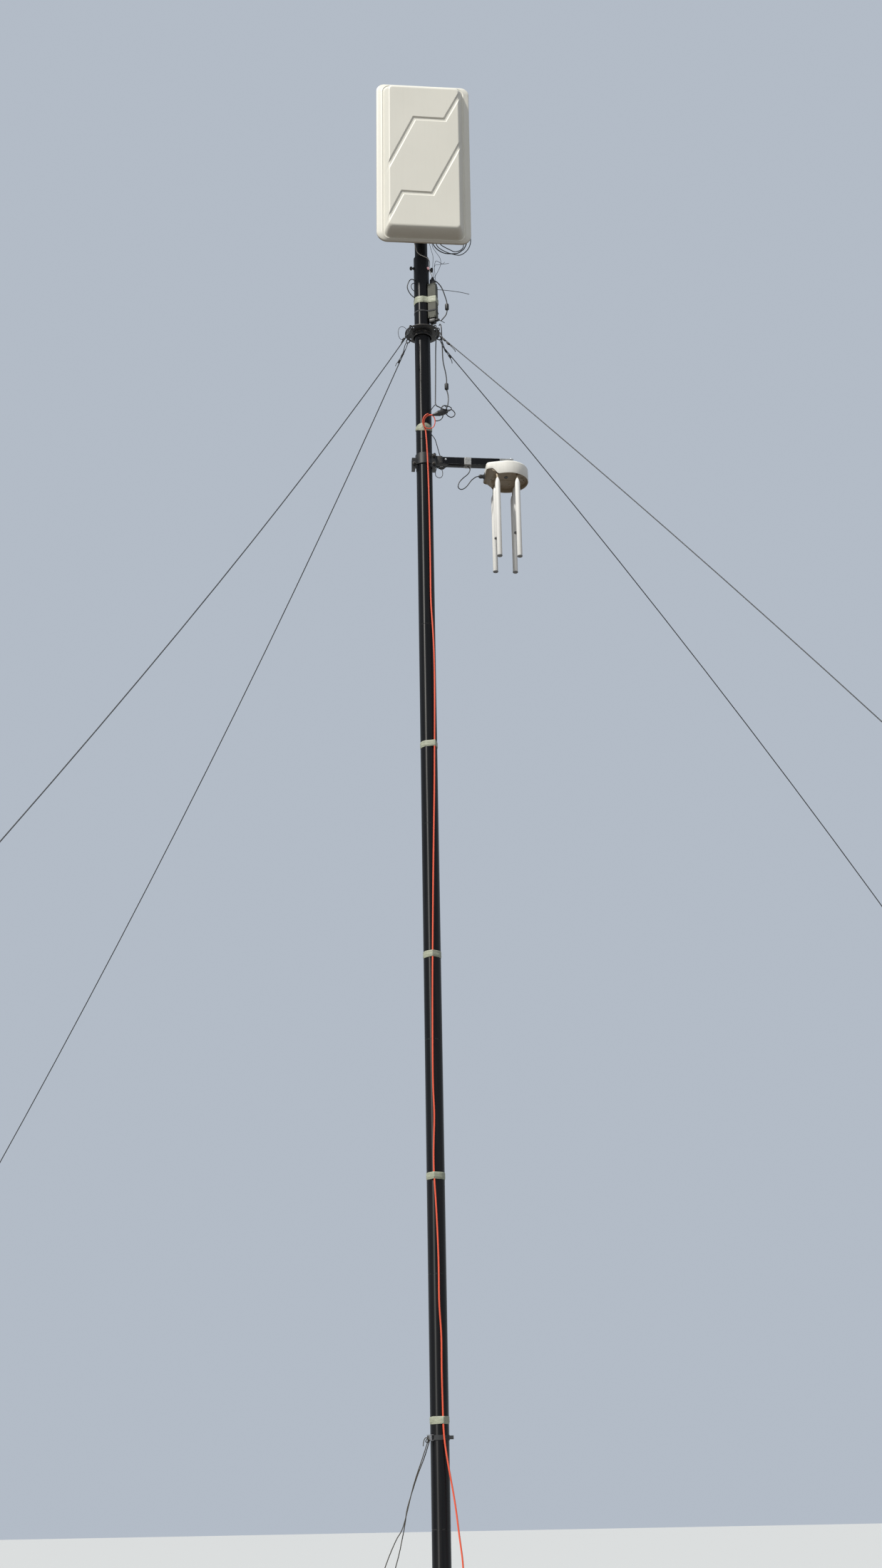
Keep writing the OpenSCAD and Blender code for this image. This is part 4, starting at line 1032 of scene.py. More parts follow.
def make_tie_ropes():
    rope_a = [(-60, -32, 1967), (-66, -32, 1950), (-92, -32, 1877), (-137, -32, 1752),
              (-188, -34, 1569), (-226, -34, 1502), (-280, -34, 1381), (-400, -36, 1060),
              (-540, -38, 620), (-660, -38, 230), (-688.6, -37, 126)]
    rope_b = [(-53, -32, 1967), (-60, -30, 1945), (-82, -24, 1880), (-119, -20, 1791),
              (-166, -20, 1654), (-178, -22, 1586), (-192, -22, 1518), (-227, -24, 1383),
              (-330, -28, 1090), (-500, -34, 640), (-652, -37, 210), (-688.6, -37, 98)]
    turns = [(-699 + 11 * math.cos(k * 0.7), -37 + 11 * math.sin(k * 0.7), 96 + k * 1.15)
             for k in range(28)]
    knot = [(-62, -38, 1974), (-70, -42, 1968), (-74, -38, 1958), (-66, -32, 1954),
            (-58, -38, 1958), (-60, -44, 1968), (-68, -42, 1976), (-78, -36, 1972),
            (-84, -34, 1956), (-86, -34, 1936)]
    tubes("tie_rope_pair", "rope_fibre", [(rope_a, 5), (rope_b, 5), (turns, 4.6), (knot, 4.6)],
          "tie_ropes", steps=4, sides=10)


def make_arm_lead():
    lead_top = 7494.4
    runs = [
        ([(324.5, 0, 7429), (312, -3, 7425), (300, -6, 7416), (278, -9, 7394), (257, -10, 7362),
          (238, -10, 7341), (219, -10, 7332), (204, -10, 7338), (199, -10, 7354),
          (208, -10, 7382), (230, -10, 7409), (256, -9, 7434), (270, -8, 7457),
          (272, -7, 7478), (262, -6, lead_top - 4), (246, -6, lead_top), (212, -6, lead_top),
          (170, -6, lead_top), (148, -6, lead_top - 1), (130, -8, 7483), (119, -9, 7475)], 6),
        ([(85.7, -10, 7476.8), (76, -11, 7472), (68, -12, 7456), (64, -13, 7436),
          (66, -13, 7418), (75, -13, 7408), (89, -13, 7404), (101, -13, 7411), (107, -13, 7427),
          (107, -12, 7446), (103, -11, 7463)], 4),
    ]
    tubes("arm_lead_loop", "cable_black", runs, "omni_lead")
    plug = worked(drum("arm_plug", 11, 18, (0, 0, 8)), ("low", 4.5, 8), ("top", 3, 2),
                  ("top", 0.5, 8), soft=(1.0, 2))
    rings = [hoop("plug_grip", 10.6, 2.2, (0, 0, z), 32, 8) for z in (11, 15, 19, 23)]
    whole = joined("arm_plug", [plug, *rings])
    finish_piece(set_down(whole, moved(119, -10, 7475) @ turned("Y", -93)), "fitting_black")


make_panel_leads()
make_box_leads()
make_hanging_leads()
make_stays()
make_tie_ropes()
make_arm_lead()


# Small fittings, each made once along +Z from the origin and then copied

def make_bolt(name, r, h):
    """Hexagon head with a chamfered top, on a round washer, with the thread's end on it."""
    washer = worked(drum(name + "_washer", r * 1.3, r * 0.22, sides=28), soft=(r * 0.06, 2))
    head = worked(drum(name, r, h, (0, 0, r * 0.22), sides=6), ("top", r * 0.16, r * 0.12))
    thread = worked(drum(name + "_thread", r * 0.52, h * 0.45, (0, 0, r * 0.3 + h), sides=16),
                    ("top", r * 0.1, r * 0.1))
    return joined(name, [head, washer, thread])


def make_screw(name, r):
    """Pan-head screw with a round recess."""
    return worked(drum(name, r, r * 0.7, sides=24), ("top", r * 0.2, r * 0.16),
                  ("top", r * 0.3, -r * 0.3), soft=(r * 0.08, 2, 40))


bolt = make_bolt("bolt", 8, 6)
screw = make_screw("screw", 3)


# Stay collar, its links and the eyes of the stays

def make_collar():
    """Plate with four large ear holes on a turned hub, cut out with the holes' own drums."""
    plate = worked(drum("collar_plate", 107, 7, (0, 0, collar_z), sides=128), soft=(1.5, 2))
    cutter = joined("ear_holes", [
        drum("ear_hole", 10.5, 40, (*on_circle(93, heading), collar_z - 20), sides=32)
        for heading, *_ in stays.values()])
    cut = plate.modifiers.new("ear_holes", "BOOLEAN")
    cut.operation = "DIFFERENCE"
    cut.object = cutter
    bpy.context.view_layer.objects.active = plate
    bpy.ops.object.modifier_apply(modifier=cut.name)
    drop(cutter)
    parts = [plate]
    for r, low, high in ((57, -31, 0), (62, -10, -1), (61.5, -31, -24), (54, 6.8, 15)):
        parts.append(worked(drum("collar_hub", r, high - low, (0, 0, collar_z + low), sides=96),
                            soft=(1.2, 2)))
    pinch = turned("Z", 280) @ moved(0, 0, collar_z - 15.5) @ turned("Y", 90)
    boss = worked(drum("pinch_boss", 10, 12, (0, 0, 52), sides=32), soft=(1.5, 2))
    parts.append(copy_at(boss, pinch))
    parts.append(copy_at(bolt, pinch @ moved(0, 0, 63.5)))
    drop(boss)
    finish_piece(joined("collar_with_holes", parts), "steel_dark", "stay_collar")


def make_stay_eyes():
    """Link through each ear, with the stay's eye, its ferrules and its loose tail."""
    ferrule = worked(drum("ferrule", 6.2, 22, sides=20), soft=(1.8, 3))
    links, eyes, sleeves = [], [], []
    for heading, reach, _, tail in stays.values():
        ground, slant, _ = stay_way(heading, reach)
        across = Vector((-ground.y, ground.x, 0))
        start = stay_ends(heading, reach)[0]
        middle = ground * 106 + Vector((0, 0, collar_z - 5))
        link = hoop("link", 14, 7)
        upright = Matrix((ground, Vector((0, 0, 1)), ground.cross(Vector((0, 0, 1)))))
        place = upright.transposed().to_4x4()
        place.translation = middle
        links.append(copy_at(link, place))
        drop(link)
        low = middle + slant * 15
        knot = start + slant * 34
        for side in (-1, 1):
            bow = across * side
            eyes.append(([low - slant * 4, low + bow * 6 + slant * 3, low + bow * 9 + slant * 14,
                          low.lerp(knot, 0.6) + bow * 6, knot - slant * 4 + bow * 2,
                          knot + slant * 16 + bow * 1.5], 5))
        eyes.append(([knot + slant * 10 + across * 3, knot + slant * 40 + across * 4,
                      knot + slant * (52 + tail) + across * 9,
                      knot + slant * (60 + tail) + across * 14 + Vector((0, 0, -10))], 4.5))
        for far in (-6, 38):
            sleeves.append(copy_at(ferrule, moved(*(knot + slant * far)) @ facing(slant)))
    drop(ferrule)
    tubes("stay_eyes", "stay_rope", eyes, sides=10)
    finish_piece(joined("stay_links", links + sleeves), "steel_dark", "stay_clips", sharp=60)


make_collar()
make_stay_eyes()


# Clamp knobs and lamp near the mast's top

def make_knobs():
    """Two screws with fluted heads that lock the sliding tube."""
    knob_z = 8889
    parts = []
    for side, r, down in ((-1, 12, 0), (1, 15, 6)):
        head = drum("knob_head", r, 12, (0, 0, 58), sides=24)
        pick_faces(head, lambda middle, normal: abs(normal.z) < 0.1
                   and int(round(math.degrees(math.atan2(normal.y, normal.x)) / 15 - 0.5)) % 2)
        bpy.ops.mesh.inset(thickness=0.0005, depth=-0.0011, use_individual=True)
        bpy.ops.object.mode_set(mode="OBJECT")
        bevel_edges(head, 1.0, 2, 50)
        stem = drum("knob_stem", 6.5, 18, (0, 0, 44), sides=24)
        collar = worked(drum("knob_collar", 9, 5, (0, 0, 47), sides=32), soft=(1.2, 2))
        cap = worked(drum("knob_cap", r * 0.6, 3, (0, 0, 70), sides=24), soft=(1.0, 2))
        knob = joined("knob", [head, stem, collar, cap])
        parts.append(copy_at(knob, moved(0, 0, knob_z - down) @ turned("Y", 90 * side)))
        drop(knob)
    finish_piece(joined("clamp_knob_pair", parts), "fitting_black", "clamp_knobs")


def make_lamp():
    """Domed lens in a thin ring on the mast's side."""
    place = turned("Z", -41) @ moved(0, 0, 8871) @ turned("Y", 90)
    lens = worked(drum("lens", 8.6, 9, (0, 0, 45), sides=40), ("top", 1.6, 3.0),
                  ("top", 2.4, 1.6), ("top", 2.2, 0.5), soft=(0.8, 2, 15))
    ring = hoop("lamp_ring", 9, 3, (0, 0, 48))
    finish_piece(copy_at(lens, place), "lamp_pink", "signal_lamp", sharp=60)
    finish_piece(copy_at(ring, place), "fitting_black")
    drop(lens, ring)


make_knobs()
make_lamp()


# Junction box, its plugs and the ferrites on the leads

box_place = turned("Z", -24) @ moved(47.5, -24.5, 8503)


def make_box():
    """Moulded body and lid with soft edges, a sunk lid panel, screws and mounting lugs."""
    body = worked(block("box_body", (49, 37, 246), (25, 32.5, 123.5)), soft=(3.5, 3))
    lid = worked(block("box_lid", (50, 13, 247), (25, 6.5, 123.5)), ("front", 4.5, 0))
    inset_faces(lid, lambda middle, normal: normal.y < -0.9 and middle.y < 0.0005
                and abs(middle.x - 0.025) < 0.001, 1.0, -1.2)
    bevel_edges(lid, 2.2, 3, 50)
    lip = block("box_lip", (46, 4, 243), (25, 13.4, 123.5))
    parts = [body, lid, lip]
    parts += [copy_at(screw, moved(x, -0.4, z) @ turned("X", 90))
              for x in (6.5, 43.5) for z in (8, 239)]
    parts += [worked(block("box_lug", (16, 5, 14), (25, 46, z)), soft=(2, 3)) for z in (-5, 252)]
    whole = set_down(joined("junction_box_case", parts), box_place)
    finish_piece(whole, "box_grey", "junction_box")


def make_box_plugs():
    """Square plug and two glands on the box's top, and a wide plug under it."""
    plug = block("top_plug", (30, 27, 30), (27, 18, 262))
    parts = [worked(plug, ("top", 4, 7), soft=(2.5, 3))]
    for x, y, z, r, h in ((27, 18, 282, 8, 14), (18, 40, 247, 8, 24), (42, 38, 247, 6, 12)):
        parts.append(worked(drum("gland_nut", r * 1.25, h * 0.4, (x, y, z), sides=6),
                            soft=(0.8, 2)))
        parts.append(worked(drum("gland_sleeve", r, h, (x, y, z), sides=24),
                            ("top", r * 0.35, r * 0.6)))
    wide = block("low_plug", (38, 34, 26), (23, 23, -13))
    parts.append(worked(wide, ("low", 5, 6), soft=(2.5, 3)))
    spout = worked(drum("low_spout", 10, 12, sides=28), ("top", 4, 13), soft=(1.0, 2))
    parts.append(copy_at(spout, moved(42, 20, -14) @ turned("Y", 90)))
    drop(spout)
    parts.append(worked(drum("low_gland", 7, 18, (14, 22, -46), sides=24), soft=(1.5, 2)))
    whole = set_down(joined("box_plug_set", parts), box_place)
    finish_piece(whole, "fitting_black", "box_plugs")


def make_ferrites():
    """Split sleeves with a snap seam and drawn-in ends."""
    sleeve = worked(drum("ferrite", 12, 36, (0, 0, 5), sides=36), ("ends", 3.4, 2.4),
                    ("ends", 1.4, 2.6), soft=(1.4, 3))
    seam = worked(block("ferrite_seam", (1.6, 25.2, 32), (0, 0, 23)), soft=(0.6, 2))
    snap = worked(block("ferrite_snap", (7, 26, 8), (0, 0, 23)), soft=(1, 2))
    whole = joined("ferrite", [sleeve, seam, snap])
    places = [moved(*spot) @ turned("Z", 25) for spot in ferrite_spots]
    sleeves = copies("ferrite_sleeves", whole, places)
    drop(whole)
    finish_piece(sleeves, "fitting_black")


make_box()
make_box_plugs()
make_ferrites()


# Tapes, wound by hand: creased bands whose edges don't quite lie on each other

mast_r, tape_r, cord_y, arm_z = 47.5, 47.6, -52, 7520


def cord_outline(x):
    """Ring of points round the mast and over the cord where it runs at this x."""
    cord_r, away, turn = 5.1, math.hypot(x, cord_y), math.atan2(cord_y, x)
    half = math.acos((mast_r - cord_r) / away)
    ring = []
    for k in range(81):
        a = turn + half + k * (2 * math.pi - 2 * half) / 80
        ring.append((mast_r * math.cos(a), mast_r * math.sin(a)))
    for k in range(1, 8):
        a = turn - half + k * 2 * half / 8
        ring.append((x + cord_r * math.cos(a), cord_y + cord_r * math.sin(a)))
    return ring


def box_outline():
    """Ring of points round the mast and straight across to the box's corners."""
    ring = [on_circle(tape_r, a) for a in range(54, 280, 4)]
    corners = [box_place @ Vector(c) for c in ((0, 0, 0), (50, 0, 0), (50, 51, 0), (0, 51, 0))]
    ring.append((corners[0].x, corners[0].y))
    for a, b in zip(corners, corners[1:]):
        for k in range(1, 9):
            spot = a.lerp(b, k / 8)
            ring.append((spot.x, spot.y))
    return ring[:-3]


def wound(work, ring, low, high, thick, seed, ragged=1.6, slant=0.0, nods=(0, 0)):
    """One creased turn of tape that follows the ring from outside, closed at its edges."""
    count, rows = len(ring), 8
    layers = []
    for row in range(rows + 1):
        share = row / rows
        level = []
        for i, (x, y) in enumerate(ring):
            before, after = Vector(ring[i - 1]), Vector(ring[(i + 1) % count])
            out = Vector(((after - before).y, -(after - before).x)).normalized()
            z = low + (high - low) * share + slant * x
            z += min(y, 0) * (nods[0] * (1 - share) + nods[1] * share)
            z += ragged * (noise.noise(Vector((x, y, seed)) * 0.05) * (1 - share)
                           + noise.noise(Vector((x, y, seed + 9)) * 0.05) * share)
            crease = noise.noise(Vector((x * 0.05, y * 0.05, z * 0.16 + seed)))
            fold = abs(noise.noise(Vector((x * 0.02, y * 0.02, z * 0.09 + seed * 2))))
            grip = 0.0 if row in (0, rows) else 1.0
            lift = thick * (0.55 + 0.45 * grip) + grip * (0.8 * crease + 1.3 * (0.25 - fold))
            level.append(work.verts.new(Vector((x + out.x * max(lift, 0.5),
                                                y + out.y * max(lift, 0.5), z)) / 1000))
        layers.append(level)
    for z, nod in ((high, nods[1]), (low, nods[0])):
        layers.append([work.verts.new(Vector((x, y, z + slant * x + min(y, 0) * nod)) / 1000)
                       for x, y in ring])
    skin(work, layers + layers[:1])


def make_tapes():
    """Two turns of tape over the cord at four heights, over the box, and at the socket."""
    work = bmesh.new()
    for i, (z, x) in enumerate(zip((2058, 3267, 4459, 5684), (13, -14, -3, 28))):
        ring = cord_outline(x)
        wound(work, ring, z - 18, z + 14, 1.2, i * 3.1)
        wound(work, ring, z - 13, z + 18, 2.0, i * 3.1 + 40, slant=0.02)
    wound(work, box_outline(), 8614, 8650, 1.2, 21.0)
    wound(work, box_outline(), 8620, 8658, 2.0, 25.0, slant=-0.03)
    round_mast = [on_circle(tape_r, a) for a in range(0, 360, 4)]
    wound(work, round_mast, 7729, 7739, 2.0, 35.0, nods=(0.50, -0.40))
    wound(work, round_mast, 7726, 7742, 2.8, 37.0, slant=-0.05, nods=(0.33, -0.22))
    finish_piece(from_bmesh("wound_tapes", work), "tape_pale", "mast_tapes", sharp=60)


def make_arm_tape():
    """Silver tape round the arm and the lead under it."""
    half = 22.6
    ring = []
    for k in range(40):
        a = math.radians(9 * k)
        ring.append((max(-half, min(half, half * 1.42 * math.cos(a))),
                     max(-half, min(half, half * 1.42 * math.sin(a)))))
    ring = [(x, y - (3.6 * max(0.0, 1 - abs(x + 6) / 9) + 0.4 if y < -half + 1 else 0))
            for x, y in ring]
    work = bmesh.new()
    wound(work, ring, 0, 38, 1.0, 51.0, ragged=2.2)
    wound(work, ring, 6, 43, 1.7, 55.0, ragged=2.2, slant=0.05)
    lie = Matrix(((0, 0, 1, 0), (1, 0, 0, 0), (0, 1, 0, 0), (0, 0, 0, 1)))
    tape = set_down(from_bmesh("arm_tape_turns", work), moved(238, 0, arm_z) @ lie)
    finish_piece(tape, "tape_grey", "arm_tape", sharp=60)


make_tapes()
make_arm_tape()


# Round housing with its rods, and the bolts of the arm

cover_x, cover_r, snout_x = 497, 125, 385
rim_high, rim_low, cover_z = 7433, 7394, 7464


def housing_outline(back):
    """Round part and snout in one smooth outline, drawn in by the given distance."""
    discs = ((cover_x, 0, cover_r), (snout_x, 74, 24), (snout_x, -74, 24))
    corners = []
    for step in range(1440):
        a = math.tau * step / 1440
        x, y, r = max(discs, key=lambda disc: disc[0] * math.cos(a) + disc[1] * math.sin(a)
                      + disc[2])
        corners.append(Vector((x + (r - back) * math.cos(a), y + (r - back) * math.sin(a))))
    corners.append(corners[0])
    lengths = [0.0]
    for a, b in zip(corners, corners[1:]):
        lengths.append(lengths[-1] + (b - a).length)
    points, at = [], 0
    for step in range(144):
        goal = lengths[-1] * step / 144
        while lengths[at + 1] < goal:
            at += 1
        part = (goal - lengths[at]) / max(lengths[at + 1] - lengths[at], 1e-6)
        points.append(corners[at].lerp(corners[at + 1], part))
    return points


def rim_height(x, high, low):
    part = min(max((x - 393) / 42, 0), 1)
    return high + (low - high) * part * part * (3 - 2 * part)


def walled(rows):
    """Closed body from rows of (how far drawn in, height by x), ends filled."""
    work = bmesh.new()
    rings = []
    for back, height, *share in rows:
        ring = housing_outline(back)
        if share:
            ring = [Vector((470, 0)).lerp(p, share[0]) for p in ring]
        rings.append([work.verts.new((p.x, p.y, height(p.x))) for p in ring])
    skin(work, rings)
    work.faces.new(list(reversed(rings[0])))
    work.faces.new(rings[-1])
    bmesh.ops.recalc_face_normals(work, faces=work.faces[:])
    work.transform(Matrix.Diagonal((0.001, 0.001, 0.001, 1)))
    return work


def make_housing():
    """Smooth cover with a rolled top and a stepped rim, and the tub inside it, tan as painted
    shade under the cover.
    """
    def rim(high, low):
        return lambda x: rim_height(x, high, low)

    def floor(x):
        return rim_height(x + 22, 7437, 7414)

    rows = [(3.0, rim(7440, 7430)), (3.0, rim(rim_high, rim_low)),
            (2.2, rim(7431.6, 7392.4)), (0.8, rim(7431.6, 7392.4)),
            (0.0, rim(rim_high, rim_low)), (0.0, rim(7448, 7448)), (0.0, rim(cover_z, cover_z))]
    for angle in range(10, 100, 10):
        a = math.radians(angle)
        up = cover_z + 17 * math.sin(a)
        rows.append((20 * (1 - math.cos(a)), rim(up, up)))
    rows += [(40, rim(7483.5, 7483.5)), (70, rim(7485.5, 7485.5))]
    finish_piece(from_bmesh("housing_cover", walled(rows)), "housing_white", "omni_cover",
                 sharp=40)
    # The tub's top rows line the inside of the cover's rim, so that inner wall takes the tan
    # painted shade.
    rows = [(3.2, rim(7444, 7428)), (3.2, rim(7434, 7395)), (4.2, rim(rim_high, rim_low)),
            (5.4, rim(7434, 7395)), (6.4, floor), (9.0, floor), (12.0, floor)]
    rows += [(12.0, floor, share) for share in (0.9, 0.8, 0.7, 0.55, 0.4, 0.2)]
    parts = [from_bmesh("housing_tub", walled(rows))]
    for x, y, w, d in ((480, 36, 44, 60), (518, 18, 28, 14), (514, 62, 9, 22),
                       (420, 44, 26, 5), (420, -44, 26, 5), (376, 0, 5, 150)):
        plate = block("floor_plate", (w, d, 3), (x, y, floor(x) - 0.8))
        parts.append(worked(plate, ("low", 1.6, -1.2), soft=(0.6, 2)))
    rib = worked(block("floor_rib", (3, 22, 4)), soft=(1, 2))
    for angle in range(15, 375, 30):
        place = moved(*on_circle(88, angle, (cover_x, 0)), 7413)
        parts.append(copy_at(rib, place @ turned("Z", angle - 90)))
    drop(rib)
    finish_piece(joined("housing_tub", parts), "housing_tan", "omni_base", sharp=40)
    # A black disc with a shallow recess stands for the drain hole: painted shade of its inside.
    hole = worked(drum("drain_hole_painted_shade", 11, 3, (486, -27, 7411.5), sides=36), ("low", 2.0, -1.2))
    flange = worked(block("gland_flange", (4, 40, 34), (359.5, 0, 7430)), soft=(1.5, 3))
    finish_piece(joined("housing_black_parts", [hole, flange]), "fitting_black")
    places = [moved(*on_circle(98, a, (cover_x, 0)), 7412.6) @ turned("X", 180)
              for a in range(0, 360, 60)]
    finish_piece(copies("housing_screws", screw, places), "steel_dark")


def make_rods():
    """Six rods with drawn-in tops under studs, tan as painted shade, that lean in to the tub's
    floor.
    """
    rods, studs = [], []
    for x in (424, 542):
        for y in (-103, 0, 103):
            end = 6846 if y else (7014 if x < 500 else 7054)
            rod = drum("rod", 15, 7322 - end, (x, y, end + 6), sides=40)
            for inward, up in ((0.8, 9), (1.8, 9), (2.8, 10), (3.4, 9), (2.4, 4)):
                worked(rod, ("top", 0.01, up))
                draw_in_top(rod, inward, (x, y))
            bevel_edges(rod, 0.5, 2)
            rods.append(rod)
            studs.append(([(x, y * k, z) for k, z in ((1, 7354), (1, 7366), (0.97, 7376),
                                                      (0.90, 7389), (0.84, 7401),
                                                      (0.82, 7415))], 11))
    finish_piece(joined("rods_with_drawn_tops", rods), "rod_white", "antenna_rods", sharp=50)
    # Studs in the tub's tan, as painted shade under the cover.
    tubes("rod_studs", "housing_tan", studs, sides=20, sharp=60)


def draw_in_top(rod, inward, at):
    """Draws the rod's highest ring in towards its axis."""
    top = max(vertex.co.z for vertex in rod.data.vertices)
    centre = Vector((at[0] / 1000, at[1] / 1000, top))
    for vertex in rod.data.vertices:
        if vertex.co.z > top - 0.0002:
            out = vertex.co - centre
            vertex.co = centre + out * max(1 - inward / 1000 / max(out.length, 1e-6), 0.1)


def make_arm_bolts():
    """Bolts of the arm's clamp and strip, its cheek plates, and a black plate as painted shade in
    the tube's open end.
    """
    places = [moved(54, y, arm_z + z) @ turned("X", turn)
              for y, turn in ((-42, 90), (36, -90)) for z in (-36, 18)]
    places += [moved(-62, -28, 7490) @ turned("X", 90), moved(-62, 22, 7490) @ turned("X", -90)]
    finish_piece(copies("arm_clamp_bolts", bolt, places), "steel_dark")
    places = [moved(524, 0, 7549)]
    places += [moved(x, y, 7497) @ turned("X", 180) for x in (402, 432) for y in (-10, 10)]
    finish_piece(copies("arm_strip_bolts", bolt, places), "galvanised")
    cheeks = []
    for side in (-1, 1):
        plate = block("arm_cheek", (38, 5, 52), (88, side * 24.5, arm_z))
        cheeks.append(worked(plate, ("flanks", 5, 1.2), soft=(1.2, 2)))
        for z in (-13, 13):
            cheeks.append(copy_at(screw, moved(96, side * 28.5, arm_z + z)
                                  @ turned("X", -90 * side)))
    finish_piece(joined("arm_cheek_plates", cheeks), "steel_dark")
    # Black plate in the arm tube's open end: painted shade of its inside.
    end_shade_plate = block("arm_end_shade_plate", (3, 36, 36), (447, 0, arm_z))
    finish_piece(worked(end_shade_plate, ("right", 3, -1.5), soft=(0.8, 2)), "fitting_black")


make_housing()
make_rods()
make_arm_bolts()


# Rear of the panel: ribs on the tray, connectors, U-bolts and the brackets' bolts

def make_tray_ribs():
    """Raised frame and cross ribs pressed in the tray's back, with its row of screws."""
    parts = []
    for x, y, w, h in ((294, 110, 440, 9), (294, 1035, 440, 9), (294, 572, 440, 9),
                       (110, 572, 9, 900), (478, 572, 9, 900), (294, 340, 440, 7),
                       (294, 805, 440, 7)):
        rib = block("tray_rib", (w, h, 7), (x, y, -1.5))
        parts.append(worked(rib, ("low", 2, 1), soft=(1.2, 2)))
    for x in (62, 526):
        for y in range(90, 1100, 160):
            parts.append(worked(drum("tray_boss", 8, 6, (x, y, -3.5), sides=24), soft=(1.2, 2)))
            parts.append(copy_at(screw, moved(x, y, -3.4) @ turned("X", 180)))
    finish_piece(set_down(joined("panel_tray_ribs", parts), panel_place), "tray_white")


def make_panel_fittings():
    """Lead connectors on the tray's lower back, and the brackets' U-bolts with their nuts."""
    nut = worked(drum("connector_nut", 10, 6, (0, 0, -3), sides=6), soft=(0.8, 2))
    barrel = worked(drum("connector_barrel", 7.5, 16, (0, 0, 2), sides=24), ("top", 2.6, 4),
                    soft=(0.7, 2))
    connector = joined("connector", [nut, barrel])
    spots = [(58, 9080), (86, 9096), (116, 9070), (250, 9070), (262, 9106), (278, 9080),
             (-62, 9060), (40, 9070), (66, 9064)]
    places = [moved(x, tray_y(z) - 1, z) @ turned("X", -90 - panel_lean) for x, z in spots]
    finish_piece(copies("panel_connectors", connector, places), "steel_dark")
    drop(connector)
    half_bow = [(46, -42.24), (46, -19.2), (43, 1.92), (32, 23.04), (16, 35.52)]
    bow = half_bow + [(0, 40.32)] + [(-x, y) for x, y in reversed(half_bow)]
    heights = [panel_z + bracket + up for bracket in (250, 880) for up in (-18, 18)]
    tubes("bracket_u_bolts", "galvanised", [([(x, y, z) for x, y in bow], 8) for z in heights],
          sides=14, sharp=60)
    places = [moved(x, -44, z) @ turned("X", 90) for z in heights for x in (-46, 46)]
    finish_piece(copies("bracket_nuts", bolt, places), "galvanised")


make_tray_ribs()
make_panel_fittings()


# Foot of the mast: weld, ground spikes, strap buckle and what ends the stays

def make_foot_details():
    """Weld bead round the foot tube and along its webs, and four driven spikes."""
    work = bmesh.new()
    uv = work.loops.layers.uv.new("UVMap")
    bead = [Vector((*on_circle(48.6, a), 12.0 + 0.5 * math.sin(math.radians(a * 30))))
            for a in range(0, 361, 4)]
    sweep(work, uv, bead, 3.6, 10)
    for turn in range(45, 360, 90):
        for side in (-1, 1):
            flat = [(r, side * 4.6, 11.4 + 0.4 * math.sin(r)) for r in range(49, 117, 4)]
            upright = [(48.4 + 0.4 * math.sin(z), side * 4.6, z) for z in range(14, 118, 4)]
            for line, radius in ((flat, 2.4), (upright, 2.2)):
                sweep(work, uv, [turned("Z", turn) @ Vector(p) for p in line], radius, 8)
    finish_piece(from_bmesh("foot_welds", work), "steel_dark", sharp=80)
    head = worked(drum("spike_head", 15, 9, (0, 0, 13), sides=32), ("top", 3, 2.5),
                  soft=(1.2, 3))
    washer = worked(drum("spike_washer", 20, 3, (0, 0, 10), sides=36), soft=(0.8, 2))
    shank = drum("spike_shank", 8, 10, (0, 0, 3), sides=24)
    spike = joined("spike", [head, washer, shank])
    places = [moved(x, y, 0) for x in (-160, 160) for y in (-160, 160)]
    finish_piece(copies("base_spikes", spike, places), "galvanised")
    drop(spike)


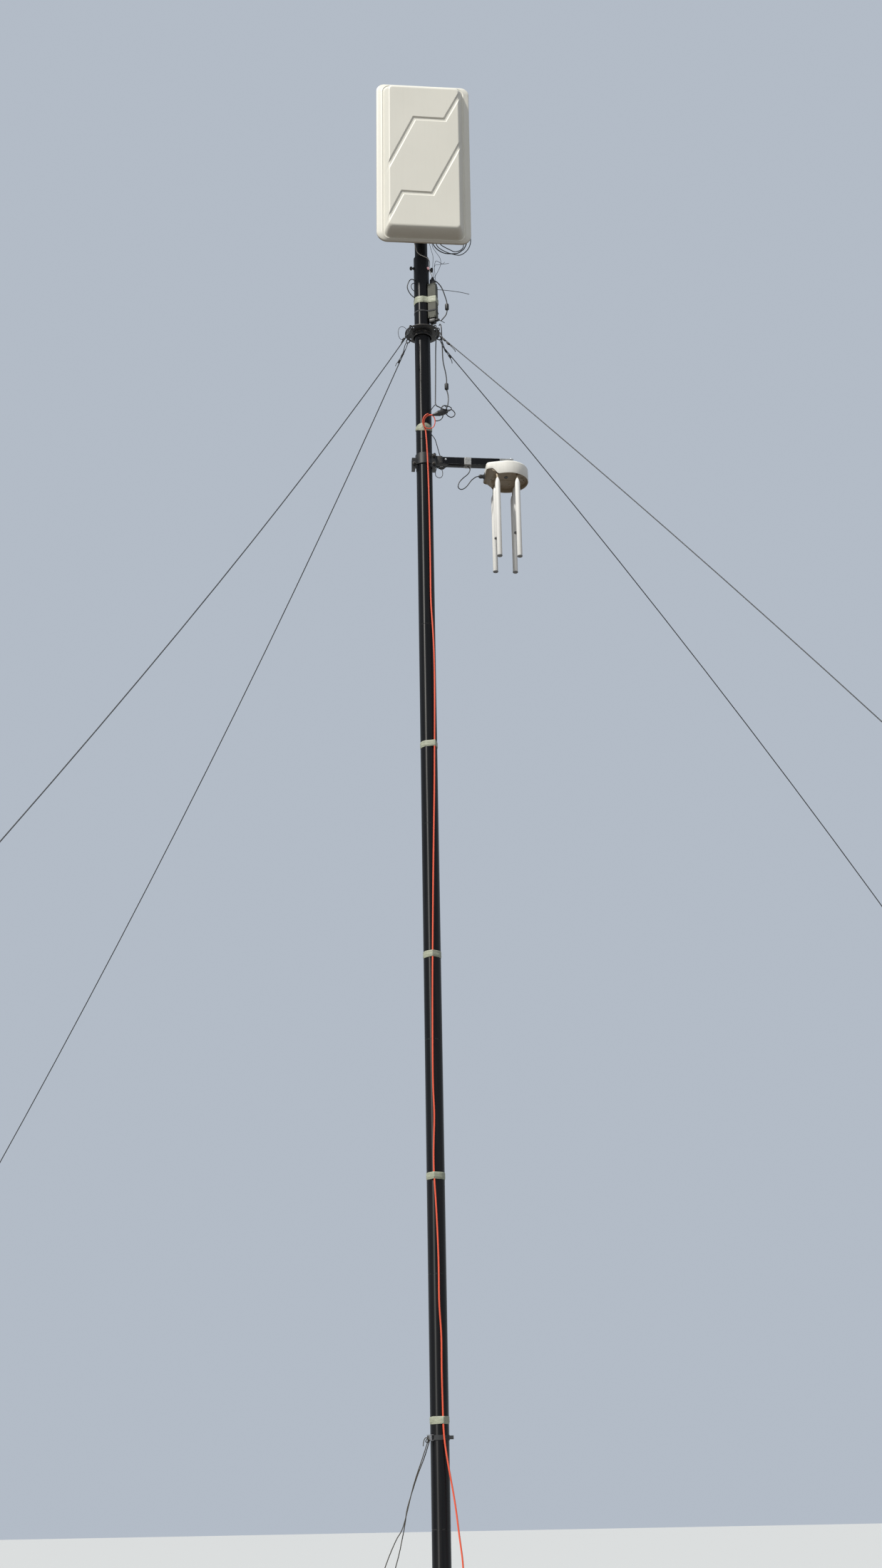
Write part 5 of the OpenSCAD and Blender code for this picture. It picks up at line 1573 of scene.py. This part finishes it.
def make_strap_buckle():
    """Ratchet buckle on the low strap: cheeks, spool and lever."""
    parts = [worked(block("buckle_cheek", (40, 20, 2.5), (0, -9, z)), soft=(1.0, 2))
             for z in (-13, 13)]
    for x, r in ((-12, 4.5), (12, 3.5)):
        parts.append(worked(drum("buckle_bar", r, 29, (x, -10, -14.5), sides=24), soft=(0.7, 2)))
    lever = block("buckle_lever", (30, 4, 22), (6, -20, 0))
    parts.append(worked(lever, ("front", 4, -1.4), soft=(1.2, 2)))
    place = turned("Z", -62) @ moved(0, -48, 1976)
    finish_piece(set_down(joined("strap_buckle", parts), place), "galvanised")


def make_stay_anchors():
    """Eyes, lock nuts and threads of the tensioners, and the strops round the stakes."""
    ring = hoop("eye_ring", 10, 6, (0, 0, 0), 28, 10)
    ring.data.transform(Matrix.Rotation(math.radians(90), 4, "X"))
    thread_turn = hoop("thread_turn", 4.6, 2.2, (0, 0, 0), 20, 6)
    eyes, threads, strops = [], [], []
    for heading, reach, bow, _ in stays.values():
        ground, slant, _ = stay_way(heading, reach)
        start, end = stay_ends(heading, reach)
        low = (slant * (end - start).length - 4 * stay_hang(bow)).normalized()
        lie = moved(*end) @ facing(low)
        eyes.append(copy_at(ring, lie @ moved(0, 0, -7)))
        eyes.append(copy_at(bolt, lie @ moved(0, 0, 12)))
        eyes.append(copy_at(bolt, lie @ moved(0, 0, 143) @ turned("X", 180)))
        eyes.append(copy_at(ring, lie @ moved(0, 0, 206) @ turned("Z", 90)))
        threads += [copy_at(thread_turn, lie @ moved(0, 0, z)) for z in range(36, 128, 3)
                    if not 62 < z < 104]
        eye = end + low * 214
        post = ground * (reach + 58) + Vector((0, 0, 160))
        side = Vector((-ground.y, ground.x, 0))
        there, back = [[eye, eye.lerp(post, 0.5) + out * 9, post + out * 12.5,
                        post + ground * 9 + out * 9] for out in (side, -side)]
        strops.append((there + [post + ground * 12.5] + back[::-1], 5))
    finish_piece(joined("tensioner_eyes", eyes), "galvanised", sharp=60)
    finish_piece(joined("tensioner_threads", threads), "steel_dark", sharp=80)
    tubes("stake_strops", "stay_rope", strops)
    drop(ring, thread_turn)


make_foot_details()
make_strap_buckle()
make_stay_anchors()
drop(bolt, screw)


# Finishes of the pieces that keep their own solids' meshes, and of the cord

def dress_nodes():
    for row in frame["record"]["subparts"]:
        mesh = NODES[row["node"]].data
        mesh.materials.clear()
        mesh.materials.append(FINISHES[row["material_slot"]])


dress_nodes()
orange_cord.data.materials.append(FINISHES["cord_orange"])


bpy.context.view_layer.update()
